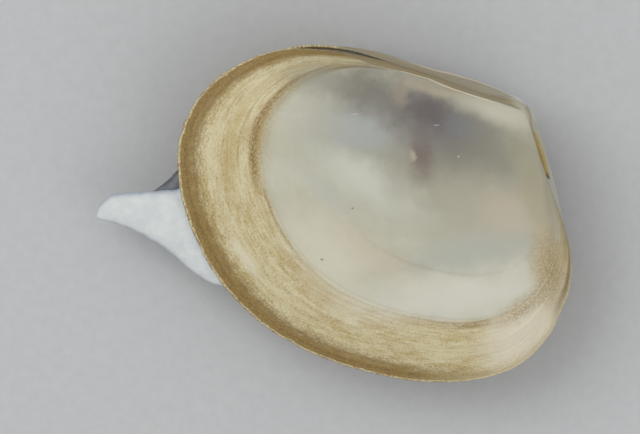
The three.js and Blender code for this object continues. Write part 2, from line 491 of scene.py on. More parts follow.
class Graph:
    """Adds nodes to one shader tree and links them."""

    def __init__(self, tree: bpy.types.NodeTree) -> None:
        """Works on a tree.

        Args:
            tree: the node tree to build in.
        """
        self.tree = tree

    def feed(self, socket: Socket, value: Any) -> None:
        """Links a socket to another, or sets it to a plain value.

        Args:
            socket: the input to fill.
            value: another socket, or a plain value.
        """
        if isinstance(value, bpy.types.NodeSocket):
            self.tree.links.new(value, socket)
        else:
            socket.default_value = value

    def add(self, kind: str, inputs: dict[Any, Any] | None = None, **settings: Any) -> bpy.types.Node:
        """Makes a node.

        Args:
            kind: Blender's name of the node type.
            inputs: what goes into its sockets, by name or number.
            settings: the node's own options.

        Returns:
            The node.
        """
        node = self.tree.nodes.new(kind)
        for name, value in settings.items():
            setattr(node, name, value)
        for name, value in (inputs or {}).items():
            self.feed(node.inputs[name], value)
        return node

    def math(self, operation: str, a: Any, b: Any = 0.0, c: Any = 0.0) -> Socket:
        """Result of a sum on one, two or three numbers.

        Args:
            operation: the sum to do.
            a: the first value.
            b: the second value.
            c: the third value.

        Returns:
            The output.
        """
        return self.add("ShaderNodeMath", {0: a, 1: b, 2: c}, operation=operation).outputs[0]

    def times(self, a: Any, b: Any) -> Socket:
        """Product of two values.

        Args:
            a: the first value.
            b: the second value.

        Returns:
            The output.
        """
        return self.math("MULTIPLY", a, b)

    def scaled(self, value: Any, factor: Any, added: Any) -> Socket:
        """A value times a factor, plus an added value.

        Args:
            value: the value.
            factor: the factor.
            added: what is added.

        Returns:
            The output.
        """
        return self.math("MULTIPLY_ADD", value, factor, added)

    def plus(self, a: Any, b: Any) -> Socket:
        """Sum of two values.

        Args:
            a: the first value.
            b: the second value.

        Returns:
            The output.
        """
        return self.math("ADD", a, b)

    def less(self, a: Any, b: Any) -> Socket:
        """First value less the second.

        Args:
            a: the first value.
            b: the second value.

        Returns:
            The output.
        """
        return self.math("SUBTRACT", a, b)

    def rise(self, value: Any, low: Any, high: Any, start: Any = 0.0, end: Any = 1.0) -> Socket:
        """Smooth rise from start, where value is low, to end, where it is high.

        Args:
            value: the value that steers the rise.
            low: where the rise begins.
            high: where the rise ends.
            start: the result at low and below.
            end: the result at high and above.

        Returns:
            The output.
        """
        inputs = {"Value": value, 1: low, 2: high, 3: start, 4: end}
        return self.add("ShaderNodeMapRange", inputs, interpolation_type="SMOOTHSTEP").outputs[0]

    def mix(self, share: Any, a: Any, b: Any, blend: str = "MIX") -> Socket:
        """Colour that goes from a to b with a share from 0 to 1.

        Args:
            share: how far to go from a to b.
            a: the colour at share 0.
            b: the colour at share 1.
            blend: how the two are blended.

        Returns:
            The output.
        """
        inputs = {0: share, 6: a, 7: b}
        return self.add("ShaderNodeMix", inputs, data_type="RGBA", blend_type=blend).outputs[2]

    def vector(self, x: Any, y: Any, z: Any = 0.0) -> Socket:
        """Vector from three numbers.

        Args:
            x: along X.
            y: along Y.
            z: along Z.

        Returns:
            The output.
        """
        return self.add("ShaderNodeCombineXYZ", {0: x, 1: y, 2: z}).outputs[0]

    def parts(self, vector: Socket) -> tuple[Socket, Socket, Socket]:
        """The three numbers of a vector.

        Args:
            vector: the vector.

        Returns:
            The three components.
        """
        node = self.add("ShaderNodeSeparateXYZ", {0: vector})
        return node.outputs[0], node.outputs[1], node.outputs[2]

    def noise(self, vector: Any, scale: Any, detail: float = 2.0, roughness: float = 0.5) -> bpy.types.Node:
        """Noise texture read at a vector.

        Args:
            vector: the vector.
            scale: how fine it is.
            detail: how many finer layers.
            roughness: how strong the finer layers are.

        Returns:
            The noise texture node.
        """
        inputs = {"Vector": vector, "Scale": scale, "Detail": detail, "Roughness": roughness}
        return self.add("ShaderNodeTexNoise", inputs)

    def curve(self, value: Any, points: tuple[tuple[float, float], ...]) -> Socket:
        """Piecewise straight curve of a value from 0 to 1, through points of place and height.

        Args:
            value: the value to look up.
            points: the corners, as place and height.

        Returns:
            The output.
        """
        node = self.add("ShaderNodeValToRGB", {0: value})
        stops = node.color_ramp.elements
        while len(stops) < len(points):
            stops.new(0.5)
        for stop, (place, height) in zip(stops, points):
            stop.position = place
            stop.color = (height, height, height, 1.0)
        return node.outputs[0]

    def along(self, operation: str, a: Any, b: Any, c: Any = (0.0, 0.0, 0.0)) -> Socket:
        """Vector result of a sum on two or three vectors.

        Args:
            operation: the sum to do.
            a: the first vector.
            b: the second vector.
            c: the third vector.

        Returns:
            The output.
        """
        return self.add("ShaderNodeVectorMath", {0: a, 1: b, 2: c}, operation=operation).outputs[0]

    def drift(self, plan: Socket, grain: float) -> Socket:
        """Sideways drift in a plane, up to about a half each way, from noise of a given grain.

        Args:
            plan: plan places, in millimetres.
            grain: how fine the drift is.

        Returns:
            The output.
        """
        cloud = self.noise(plan, grain, 3.0, 0.55).outputs["Color"]
        return self.along("MULTIPLY_ADD", cloud, (1.0, 1.0, 0.0), (-0.5, -0.5, 0.0))

    def map(self, name: str) -> Socket:
        """A named UV map.

        Args:
            name: the name of the map.

        Returns:
            The output.
        """
        return self.add("ShaderNodeUVMap", uv_map=name).outputs[0]

    def millimetres(self) -> Socket:
        """Object coordinates in mm.

        Returns:
            The output.
        """
        place = self.add("ShaderNodeTexCoord").outputs["Object"]
        scaled = self.add("ShaderNodeVectorMath", {0: place, "Scale": 1 / MILLIMETRE}, operation="SCALE")
        return scaled.outputs[0]


class Effects:
    """Shader node groups that several finishes share. Each is built once."""

    def __init__(self) -> None:
        """Builds the groups."""
        self.lines_group = self._growth_lines()
        self.patch_group = self._soft_patch()
        self.band_group = self._growth_band()
        self.grain_group = self._grain()

    def _group(self, name: str, inputs: dict[str, Any], output: str) -> tuple[Graph, Any, Socket]:
        """Starts a group.

        Args:
            name: name of the group.
            inputs: names of its inputs with their default values.
            output: name of its one output, a value.

        Returns:
            Its graph, its input sockets and the socket that takes its result.
        """
        tree = bpy.data.node_groups.new(name, "ShaderNodeTree")
        for label, value in inputs.items():
            kind = "NodeSocketVector" if isinstance(value, tuple) else "NodeSocketFloat"
            tree.interface.new_socket(label, in_out="INPUT", socket_type=kind).default_value = value
        tree.interface.new_socket(output, in_out="OUTPUT", socket_type="NodeSocketFloat")
        source = tree.nodes.new("NodeGroupInput")
        sink = tree.nodes.new("NodeGroupOutput")
        return Graph(tree), source.outputs, sink.inputs[output]

    def _growth_lines(self) -> bpy.types.NodeTree:
        """Lines along growth: noise drawn out round the valve, with a slow drift of its stage.

        Returns:
            The group.
        """
        inputs = {"Growth": (0.0, 0.0, 0.0), "Spacing": 100.0, "Length": 5.0, "Drift": 0.004, "Seed": 0.0}
        graph, given, result = self._group("growth_lines", inputs, "Lines")
        around, stage, _ = graph.parts(given["Growth"])
        slow = graph.vector(graph.times(around, 14.0), graph.times(stage, 5.0), given["Seed"])
        sway = graph.less(graph.noise(slow, 1.0).outputs[0], 0.5)
        drifted = graph.scaled(sway, given["Drift"], stage)
        drawn = graph.vector(
            graph.times(around, given["Length"]),
            graph.times(drifted, given["Spacing"]),
            given["Seed"],
        )
        graph.feed(result, graph.rise(graph.noise(drawn, 1.0, 3.0, 0.6).outputs[0], 0.3, 0.7))
        return graph.tree

    def _soft_patch(self) -> bpy.types.NodeTree:
        """Patch in a plane: 1 inside an ellipse and 0 outside, with a soft and ragged edge.

        Returns:
            The group.
        """
        inputs = {
            "Plan": (0.0, 0.0, 0.0), "Drift": (0.0, 0.0, 0.0), "Centre": (0.0, 0.0, 0.0),
            "Reach": (1.0, 1.0, 1.0), "Turn": (0.0, 0.0, 0.0), "Edge": 0.5, "Ragged": 1.0,
        }
        graph, given, result = self._group("soft_patch", inputs, "Mask")
        ragged = graph.vector(given["Ragged"], given["Ragged"])
        moved = graph.along("MULTIPLY_ADD", given["Drift"], ragged, given["Plan"])
        local = graph.add(
            "ShaderNodeMapping",
            {0: moved, "Location": given["Centre"], "Rotation": given["Turn"], "Scale": given["Reach"]},
            vector_type="TEXTURE",
        )
        far = graph.add("ShaderNodeVectorMath", {0: local.outputs[0]}, operation="LENGTH").outputs["Value"]
        inside = graph.less(1.0, given["Edge"])
        outside = graph.plus(1.0, given["Edge"])
        graph.feed(result, graph.rise(far, inside, outside, 1.0, 0.0))
        return graph.tree

    def _growth_band(self) -> bpy.types.NodeTree:
        """Band about one growth line between two shares round the valve, thinned by noise.

        Returns:
            The group.
        """
        inputs = {
            "Growth": (0.0, 0.0, 0.0), "Stage": 0.75, "Half Width": 0.01, "Fade": 0.005,
            "From": 0.2, "To": 0.8, "Taper": 0.03, "Waver": 0.01, "Broken": 0.3, "Seed": 0.0,
        }
        graph, given, result = self._group("growth_band", inputs, "Mask")
        around, stage, _ = graph.parts(given["Growth"])
        long_wave = graph.vector(graph.times(around, 26.0), given["Seed"])
        sway = graph.less(graph.noise(long_wave, 1.0, 3.0, 0.6).outputs[0], 0.5)
        centre = graph.scaled(sway, given["Waver"], given["Stage"])
        away = graph.math("ABSOLUTE", graph.less(stage, centre))
        inner = graph.less(given["Half Width"], given["Fade"])
        outer = graph.plus(given["Half Width"], given["Fade"])
        across = graph.rise(away, inner, outer, 1.0, 0.0)
        share, taper = given["From"], given["Taper"]
        entry = graph.rise(around, graph.less(share, taper), graph.plus(share, taper))
        share = given["To"]
        leave = graph.rise(around, graph.less(share, taper), graph.plus(share, taper), 1.0, 0.0)
        drawn = graph.vector(
            graph.times(around, 300.0), graph.times(stage, 170.0), given["Seed"]
        )
        gaps = graph.rise(graph.noise(drawn, 1.0, 4.0, 0.75).outputs[0], 0.38, 0.58)
        kept = graph.scaled(graph.less(gaps, 1.0), given["Broken"], 1.0)
        held = graph.times(entry, leave)
        graph.feed(result, graph.times(graph.times(across, held), kept))
        return graph.tree

    def _grain(self) -> bpy.types.NodeTree:
        """Grains of a given size in mm: noise above a threshold set by the share they cover.

        Returns:
            The group.
        """
        inputs = {"Position": (0.0, 0.0, 0.0), "Size": 0.2, "Share": 0.5, "Edge": 0.12}
        graph, given, result = self._group("grain", inputs, "Mask")
        scale = graph.math("DIVIDE", 1.0, given["Size"])
        cloud = graph.noise(given["Position"], scale, 3.0, 0.6).outputs[0]
        level = graph.scaled(given["Share"], -0.5, 0.75)
        low = graph.less(level, given["Edge"])
        high = graph.plus(level, given["Edge"])
        graph.feed(result, graph.rise(cloud, low, high))
        return graph.tree

    def use(self, graph: Graph, group: bpy.types.NodeTree, **inputs: Any) -> Socket:
        """Places a group in a graph.

        Args:
            graph: where it goes.
            group: the group.
            inputs: its inputs by name, with _ for a space.

        Returns:
            Its output.
        """
        node = graph.add("ShaderNodeGroup", node_tree=group)
        for name, value in inputs.items():
            graph.feed(node.inputs[name.replace("_", " ")], value)
        return node.outputs[0]


class Rag(Enum):
    """How ragged a stain's edge is: noise steps to the mm."""

    BROAD = 0.36
    CLOSE = 0.85


@dataclass(frozen=True)
class Stain:
    """Soft patch of colour in the valve plane: sizes in mm, turn in degrees."""

    colour: Colour
    strength: float
    centre: tuple[float, float]
    reach: tuple[float, float]
    turn: float = 0.0
    edge: float = 0.5
    ragged: float = 1.5
    rag: Rag = Rag.BROAD
    speckled: float = 0.0

    def paint(self, graph: Graph, effects: Effects, plan: Socket, drifts: dict[Rag, Socket],
              grains: Socket, under: Socket) -> Socket:
        """Lays the stain over a colour, as far as it is speckled only on the grains.

        Args:
            graph: the graph to add nodes to.
            effects: the shared groups.
            plan: plan places, in millimetres.
            drifts: the drift of the plan, by raggedness.
            grains: the mask of the speckles.
            under: the colour below.

        Returns:
            The colour with this mark on it.
        """
        mask = effects.use(
            graph, effects.patch_group, Plan=plan, Drift=drifts[self.rag], Centre=(*self.centre, 0.0),
            Reach=(*self.reach, 1.0), Turn=(0.0, 0.0, float(np.radians(self.turn))),
            Edge=self.edge, Ragged=self.ragged,
        )
        if self.speckled:
            kept = graph.scaled(grains, self.speckled, 1 - self.speckled)
            mask = graph.times(mask, kept)
        return graph.mix(graph.times(mask, self.strength), under, self.colour)


@dataclass(frozen=True)
class Stripe:
    """Band of colour along growth, between two shares of the way round the valve."""

    colour: Colour
    strength: float
    stage: float
    half_width: float
    fade: float
    start: float
    end: float
    taper: float = 0.02
    waver: float = 0.006
    broken: float = 0.3
    seed: float = 0.0

    def paint(self, graph: Graph, effects: Effects, growth: Socket, under: Socket) -> Socket:
        """Lays the stripe over a colour and gives the result.

        Args:
            graph: the graph to add nodes to.
            effects: the shared groups.
            growth: the growth coordinates.
            under: the colour below.

        Returns:
            The colour with this mark on it.
        """
        mask = effects.use(
            graph, effects.band_group, Growth=growth, Stage=self.stage, Half_Width=self.half_width,
            Fade=self.fade, From=self.start, To=self.end, Taper=self.taper, Waver=self.waver,
            Broken=self.broken, Seed=self.seed,
        )
        return graph.mix(graph.times(mask, self.strength), under, self.colour)


def new_material(name: str) -> tuple[bpy.types.Material, Graph, bpy.types.Node]:
    """Starts a material.

    Args:
        name: name of the material.

    Returns:
        The material, its graph and its main shader.
    """
    material = bpy.data.materials.new(name)
    material.use_nodes = True
    graph = Graph(material.node_tree)
    return material, graph, material.node_tree.nodes["Principled BSDF"]


# ---------------------------------------------------------------------------------------------
# Finishes
# ---------------------------------------------------------------------------------------------


# Share round the margin of the dorsal crest at a stage of growth, as (stage, share).
CREST_LINE = (
    (0.0, 0.80), (0.17, 0.81), (0.24, 0.815), (0.35, 0.833), (0.62, 0.863), (0.73, 0.85), (0.80, 0.83),
)
# Length round the margin of a whole valve, in millimetres.
GIRTH = 121.0


@dataclass(frozen=True)
class OuterFinish:
    """Outside of a valve: a milky disc inside the last growth check, and a straw-coloured skin
    with fine growth lines and freckles from the check to a brown margin."""

    name: str
    seed: float
    stains: tuple[Stain, ...]
    flank: Colour
    disc: Colour = rgb(186, 184, 165)
    disc_line: Colour = rgb(172, 169, 150)
    disc_light: Colour = rgb(197, 195, 178)
    skin_pale: Colour = rgb(198, 189, 154)
    skin_straw: Colour = rgb(176, 158, 110)
    skin_brown: Colour = rgb(136, 109, 56)
    margin_brown: Colour = rgb(118, 91, 33)
    margin_dark: Colour = rgb(90, 68, 26)
    margin_light: Colour = rgb(168, 143, 86)
    chipped: Colour = rgb(210, 198, 160)
    beak: Colour = rgb(190, 186, 170)
    hinge_dark: Colour = rgb(150, 141, 110)
    hinge_light: Colour = rgb(178, 166, 130)
    check_stage: float = 0.757

    def stripes(self) -> tuple[Stripe, ...]:
        """Checks and darker lines, from the middle of the disc to the margin.

        Returns:
            The lines, in the order they are painted.
        """
        straw, brown = self.skin_straw, self.skin_brown
        return (
            Stripe(rgb(140, 126, 92), 0.55, 0.588, 0.004, 0.008, 0.29, 0.47, 0.05, 0.010, 0.7, 1.0),
            Stripe(rgb(150, 132, 84), 0.60, 0.750, 0.018, 0.018, 0.635, 0.80, 0.03, 0.012, 0.8, 9.0),
            Stripe(rgb(124, 97, 46), 0.95, 0.778, 0.012, 0.009, 0.605, 0.79, 0.03, 0.010, 0.75, 2.0),
            Stripe(rgb(128, 102, 52), 0.95, 0.750, 0.016, 0.009, 0.765, 0.835, 0.02, 0.006, 0.45, 10.0),
            Stripe(rgb(120, 98, 56), 0.80, 0.765, 0.0035, 0.0030, 0.27, 0.60, 0.02, 0.008, 0.65, 3.0),
            Stripe(rgb(128, 104, 58), 0.95, 0.774, 0.010, 0.010, 0.25, 0.33, 0.03, 0.012, 1.0, 4.0),
            Stripe(straw, 0.60, 0.850, 0.014, 0.012, 0.60, 0.76, 0.04, 0.016, 0.8, 6.0),
            Stripe(brown, 0.55, 0.822, 0.0018, 0.002, 0.64, 0.78, 0.03, 0.004, 0.7, 7.0),
            Stripe(rgb(128, 99, 38), 0.78, 0.875, 0.050, 0.040, 0.105, 0.165, 0.025, 0.02, 1.0, 18.0),
        )

    def build(self, effects: Effects) -> bpy.types.Material:
        """Makes the material.

        Args:
            effects: the shared groups.

        Returns:
            The material.
        """
        material, graph, shader = new_material(self.name)
        growth, plan, place = graph.map("growth"), graph.map("plan"), graph.millimetres()
        around, stage, _ = graph.parts(growth)

        def cells(spacing: float, length: float, drift: float, offset: float) -> Socket:
            """Cells drawn out along growth: how many to a stage and to a way round.

            Args:
                spacing: how many to a stage.
                length: how many to a way round.
                drift: how far the stage drifts.
                offset: what is added to the seed of the finish.

            Returns:
                The mask.
            """
            return effects.use(graph, effects.lines_group, Growth=growth, Spacing=spacing,
                               Length=length, Drift=drift, Seed=self.seed + offset)

        wide = cells(12.0, 16.0, 0.03, 0.0)
        middling = cells(66.0, 84.0, 0.01, 3.0)
        small = cells(200.0, 420.0, 0.0, 5.0)
        hair = cells(150.0, 24.0, 0.012, 7.0)
        rays = cells(5.0, 130.0, 0.0, 9.0)
        grains = effects.use(graph, effects.grain_group, Position=place, Size=0.15, Share=0.50, Edge=0.08)
        clouds = effects.use(graph, effects.grain_group, Position=place, Size=4.0, Share=0.5, Edge=0.25)

        disc = graph.mix(graph.times(hair, 0.22), self.disc_line, self.disc)
        disc = graph.mix(graph.times(clouds, 0.45), disc, self.disc_light)
        tan = graph.scaled(middling, 0.26, graph.times(hair, 0.30))
        tan = graph.scaled(wide, 0.44, tan)
        skin = graph.mix(graph.rise(tan, 0.20, 0.92), self.skin_pale, self.skin_straw)
        freckles = graph.times(graph.rise(small, 0.45, 0.80), graph.scaled(tan, 0.9, 0.05))
        skin = graph.mix(graph.times(freckles, 0.68), skin, self.skin_brown)
        drift = graph.noise(graph.vector(graph.times(around, 22.0), self.seed), 1.0, 3.0)
        sway = graph.scaled(graph.less(drift.outputs[0], 0.5), 0.014, stage)
        rough = graph.scaled(graph.less(small, 0.5), 0.014, sway)
        edge = graph.rise(rough, self.check_stage - 0.010, self.check_stage + 0.012)
        colour = graph.mix(edge, disc, skin)
        for stripe in self.stripes():
            colour = stripe.paint(graph, effects, growth, colour)
        drifts = {rag: graph.drift(plan, rag.value) for rag in Rag}
        for stain in self.stains:
            colour = stain.paint(graph, effects, plan, drifts, grains, colour)
        silk = graph.times(graph.rise(rays, 0.1, 0.9), graph.rise(stage, 0.25, 0.74, 0.012, 0.0))
        colour = graph.mix(silk, colour, self.disc_light)
        colour = graph.mix(graph.times(graph.rise(stage, 0.02, 0.12, 1.0, 0.0), 0.50), colour, self.beak)
        colour = self._margin(graph, effects, colour, rough, around, growth, middling, small, hair)
        colour = self._dorsal(graph, colour, around, stage, hair)
        graph.feed(shader.inputs["Base Color"], colour)

        outside = graph.rise(stage, self.check_stage - 0.02, self.check_stage + 0.02)
        gloss = graph.scaled(outside, 0.16, 0.40)
        graph.feed(shader.inputs["Roughness"], graph.scaled(grains, 0.06, gloss))
        shader.inputs["Subsurface Weight"].default_value = 0.08
        shader.inputs["Subsurface Radius"].default_value = (1.0, 0.9, 0.7)
        shader.inputs["Subsurface Scale"].default_value = 0.0005
        shader.inputs["Specular IOR Level"].default_value = 0.4
        height = graph.scaled(hair, 0.5, graph.times(small, 0.5))
        height = graph.times(height, graph.scaled(outside, 0.85, 0.15))
        bump = graph.add("ShaderNodeBump", {"Height": height, "Strength": 0.5, "Distance": 0.00004})
        graph.feed(shader.inputs["Normal"], bump.outputs[0])
        return material

    def _margin(self, graph: Graph, effects: Effects, colour: Socket, rough: Socket, around: Socket,
                growth: Socket, middling: Socket, small: Socket, hair: Socket) -> Socket:
        """Brown band at the margin, narrow and pale at the hind end, with dark lines and chips, and a dark
        line where the valves meet that is partly brown matter and partly painted shade.

        Args:
            graph: the graph to add nodes to.
            effects: the shared groups.
            colour: the colour so far.
            rough: the stage, made uneven.
            around: the share round the margin.
            growth: the growth coordinates.
            middling: middling cells drawn out along growth.
            small: small cells drawn out along growth.
            hair: fine lines along growth.

        Returns:
            The colour with the band.
        """
        front = graph.rise(around, 0.25, 0.36)
        upper = graph.rise(around, 0.66, 0.82)
        inner = graph.scaled(front, -0.026, 0.960)
        inner = graph.scaled(upper, -0.034, inner)
        frayed = graph.scaled(graph.less(middling, 0.5), 0.010, rough)
        frayed = graph.scaled(graph.less(small, 0.5), 0.015, frayed)
        depth = graph.rise(frayed, graph.less(inner, 0.022), graph.plus(inner, 0.032))
        depth = graph.times(depth, graph.rise(around, 0.90, 0.955, 1.0, 0.0))
        weight = graph.scaled(front, 0.68, 0.26)
        band = graph.mix(graph.times(middling, 0.5), self.margin_brown, self.margin_dark)
        band = graph.mix(graph.times(graph.rise(small, 0.40, 0.80), 0.42), band, self.margin_light)
        band = graph.mix(graph.times(hair, 0.20), band, self.margin_light)
        colour = graph.mix(graph.times(depth, weight), colour, band)
        for stage, start, end, strength, seed in (
            (0.974, 0.30, 0.70, 0.50, 11.0), (0.952, 0.33, 0.80, 0.45, 12.0),
        ):
            line = Stripe(self.margin_dark, strength, stage, 0.004, 0.006, start, end, 0.05, 0.012, 1.0, seed)
            colour = line.paint(graph, effects, growth, colour)
        hind = Stripe(rgb(104, 80, 40), 0.90, 0.955, 0.020, 0.014, 0.10, 0.185, 0.025, 0.02, 0.45, 15.0)
        colour = hind.paint(graph, effects, growth, colour)
        # Dark line on the front dorsal margin where the valves meet: partly brown matter in the seam, partly
        # painted shade of the gap between the valves.
        gap = Stripe(rgb(80, 68, 50), 0.75, 0.985, 0.012, 0.008, 0.825, 0.93, 0.02, 0.004, 0.3, 19.0)
        colour = gap.paint(graph, effects, growth, colour)
        chips = Stripe(self.chipped, 0.90, 0.998, 0.006, 0.003, 0.05, 0.93, 0.02, 0.010, 1.0, 17.0)
        return chips.paint(graph, effects, growth, colour)

    def _dorsal(self, graph: Graph, colour: Socket, around: Socket, stage: Socket, hair: Socket) -> Socket:
        """Flank between the dorsal crest and the margin, a painted highlight along the crest, and a buff
        hinge strip.

        Args:
            graph: the graph to add nodes to.
            colour: the colour so far.
            around: the share round the margin.
            stage: the stage of growth.
            hair: fine lines along growth.

        Returns:
            The colour with the flank and hinge.
        """
        line = graph.curve(stage, CREST_LINE)
        away = graph.times(graph.less(around, line), graph.times(stage, GIRTH))
        past = graph.times(graph.rise(away, 0.10, 0.35), graph.rise(around, 0.975, 0.995, 1.0, 0.0))
        past = graph.times(past, graph.rise(stage, 0.12, 0.26))
        tone = graph.mix(graph.times(hair, 0.5), self.flank, self.skin_straw)
        colour = graph.mix(graph.times(past, 0.85), colour, tone)
        # Painted highlight: a cream line along the dorsal crest, where the ridge catches the light.
        crest = graph.rise(graph.math("ABSOLUTE", away), 0.05, 0.32, 1.0, 0.0)
        crest = graph.times(crest, graph.rise(stage, 0.10, 0.2))
        crest = graph.times(crest, graph.rise(stage, 0.66, 0.78, 1.0, 0.0))
        colour = graph.mix(graph.times(crest, 0.75), colour, rgb(206, 192, 160))
        hinge = graph.times(graph.rise(around, 0.10, 0.17, 1.0, 0.0), graph.rise(stage, 0.45, 0.85))
        buff = graph.mix(hair, self.hinge_dark, self.hinge_light)
        return graph.mix(graph.times(hinge, 0.75), colour, buff)


@dataclass(frozen=True)
class LiningFinish:
    """Inside of a valve: smooth porcelain, duller outside the pallial line and on the scars."""

    name: str = "valve_lining"
    milk: Colour = rgb(222, 220, 208)
    warm: Colour = rgb(226, 208, 184)
    edge: Colour = rgb(132, 112, 74)
    scar: Colour = rgb(206, 202, 188)
    pallial_stage: float = 0.86

    def build(self, effects: Effects) -> bpy.types.Material:
        """Makes the material.

        Args:
            effects: the shared groups.

        Returns:
            The material.
        """
        material, graph, shader = new_material(self.name)
        growth, plan, place = graph.map("growth"), graph.map("plan"), graph.millimetres()
        _, stage, _ = graph.parts(growth)
        clouds = effects.use(graph, effects.grain_group, Position=place, Size=6.0, Share=0.5, Edge=0.25)
        lines = effects.use(
            graph, effects.lines_group, Growth=growth, Spacing=60.0, Length=8.0, Drift=0.01, Seed=31.0
        )
        colour = graph.mix(graph.times(clouds, 0.5), self.milk, self.warm)
        colour = graph.mix(graph.times(lines, 0.12), colour, self.scar)
        colour = graph.mix(graph.rise(stage, 0.94, 0.99), colour, self.edge)
        drifts = {Rag.BROAD: graph.drift(plan, Rag.BROAD.value)}
        for stain in (
            Stain(self.scar, 0.7, (-28.5, -2.5), (3.6, 2.2), 60.0, 0.12, 0.6),
            Stain(self.scar, 0.7, (-1.0, -14.5), (2.6, 2.2), 80.0, 0.12, 0.6),
        ):
            colour = stain.paint(graph, effects, plan, drifts, clouds, colour)
        line = Stripe(self.scar, 0.8, self.pallial_stage, 0.006, 0.004, 0.16, 0.68, 0.03, 0.01, 0.2, 33.0)
        colour = line.paint(graph, effects, growth, colour)
        graph.feed(shader.inputs["Base Color"], colour)
        outside = graph.rise(stage, self.pallial_stage - 0.01, self.pallial_stage + 0.01)
        rough = graph.scaled(outside, 0.14, 0.2)
        graph.feed(shader.inputs["Roughness"], graph.scaled(clouds, 0.05, rough))
        bump = graph.add("ShaderNodeBump", {"Height": lines, "Strength": 0.35, "Distance": 0.00003})
        graph.feed(shader.inputs["Normal"], bump.outputs[0])
        return material


@dataclass(frozen=True)
class LigamentFinish:
    """Horny amber band, brown at its ends and along its fibres."""

    name: str = "ligament_amber"
    amber: Colour = rgb(184, 154, 82)
    straw: Colour = rgb(182, 166, 114)
    brown: Colour = rgb(122, 98, 58)

    def build(self, effects: Effects) -> bpy.types.Material:
        """Makes the material.

        Args:
            effects: the shared groups.

        Returns:
            The material.
        """
        material, graph, shader = new_material(self.name)
        run, place = graph.map("fibre"), graph.millimetres()
        along, around, _ = graph.parts(run)
        drawn = graph.vector(graph.times(along, 3.0), graph.times(around, 26.0))
        fibres = graph.noise(drawn, 1.0, 4.0, 0.6)
        strands = graph.rise(fibres.outputs[0], 0.32, 0.68)
        blots = effects.use(graph, effects.grain_group, Position=place, Size=0.7, Share=0.4, Edge=0.2)
        colour = graph.mix(strands, self.amber, self.straw)
        colour = graph.mix(graph.times(blots, 0.35), colour, self.brown)
        ends = graph.rise(graph.math("ABSOLUTE", graph.less(along, 0.47)), 0.3, 0.5)
        colour = graph.mix(graph.times(ends, 0.8), colour, self.brown)
        graph.feed(shader.inputs["Base Color"], colour)
        graph.feed(shader.inputs["Roughness"], graph.scaled(strands, 0.15, 0.34))
        shader.inputs["Subsurface Weight"].default_value = 0.2
        shader.inputs["Subsurface Radius"].default_value = (1.0, 0.6, 0.25)
        shader.inputs["Subsurface Scale"].default_value = 0.0004
        bump = graph.add("ShaderNodeBump", {"Height": strands, "Strength": 0.6, "Distance": 0.00004})
        graph.feed(shader.inputs["Normal"], bump.outputs[0])
        return material


@dataclass(frozen=True)
class FleshFinish:
    """Opaque bluish-white flesh of the foot, creamier where the soft mass lies in the valve, with a painted
    blue-grey shade on its steep sides.
    """

    name: str = "soft_flesh"
    white: Colour = rgb(206, 209, 206)
    blue: Colour = rgb(158, 168, 180)
    cream: Colour = rgb(206, 198, 176)
    foot_end: float = -33.0

    def build(self, effects: Effects) -> bpy.types.Material:
        """Makes the material.

        Args:
            effects: the shared groups.

        Returns:
            The material.
        """
        material, graph, shader = new_material(self.name)
        run, place = graph.map("plan"), graph.millimetres()
        forward, _, _ = graph.parts(run)
        clouds = effects.use(graph, effects.grain_group, Position=place, Size=2.4, Share=0.5, Edge=0.22)
        pores = effects.use(graph, effects.grain_group, Position=place, Size=0.16, Share=0.5, Edge=0.16)
        wrinkles = effects.use(graph, effects.grain_group, Position=place, Size=0.5, Share=0.5, Edge=0.2)
        # Painted shade: blue-grey laid on the foot's steep sides by the weight stored on the mesh.
        edge_shade = graph.add("ShaderNodeAttribute", attribute_name="edge_shade").outputs["Fac"]
        colour = graph.mix(graph.times(clouds, 0.30), self.white, self.blue)
        colour = graph.mix(graph.times(edge_shade, 0.90), colour, self.blue)
        inside = graph.rise(forward, self.foot_end - 2.0, self.foot_end + 6.0)
        colour = graph.mix(graph.times(inside, 0.7), colour, self.cream)
        colour = graph.mix(graph.times(pores, 0.22), colour, rgb(172, 180, 186))
        graph.feed(shader.inputs["Base Color"], colour)
        graph.feed(shader.inputs["Roughness"], graph.scaled(wrinkles, 0.12, 0.5))
        shader.inputs["Subsurface Weight"].default_value = 0.35
        shader.inputs["Subsurface Radius"].default_value = (1.0, 0.85, 0.8)
        shader.inputs["Subsurface Scale"].default_value = 0.0008
        height = graph.scaled(pores, 0.35, graph.times(wrinkles, 0.65))
        bump = graph.add("ShaderNodeBump", {"Height": height, "Strength": 0.35, "Distance": 0.00006})
        graph.feed(shader.inputs["Normal"], bump.outputs[0])
        return material


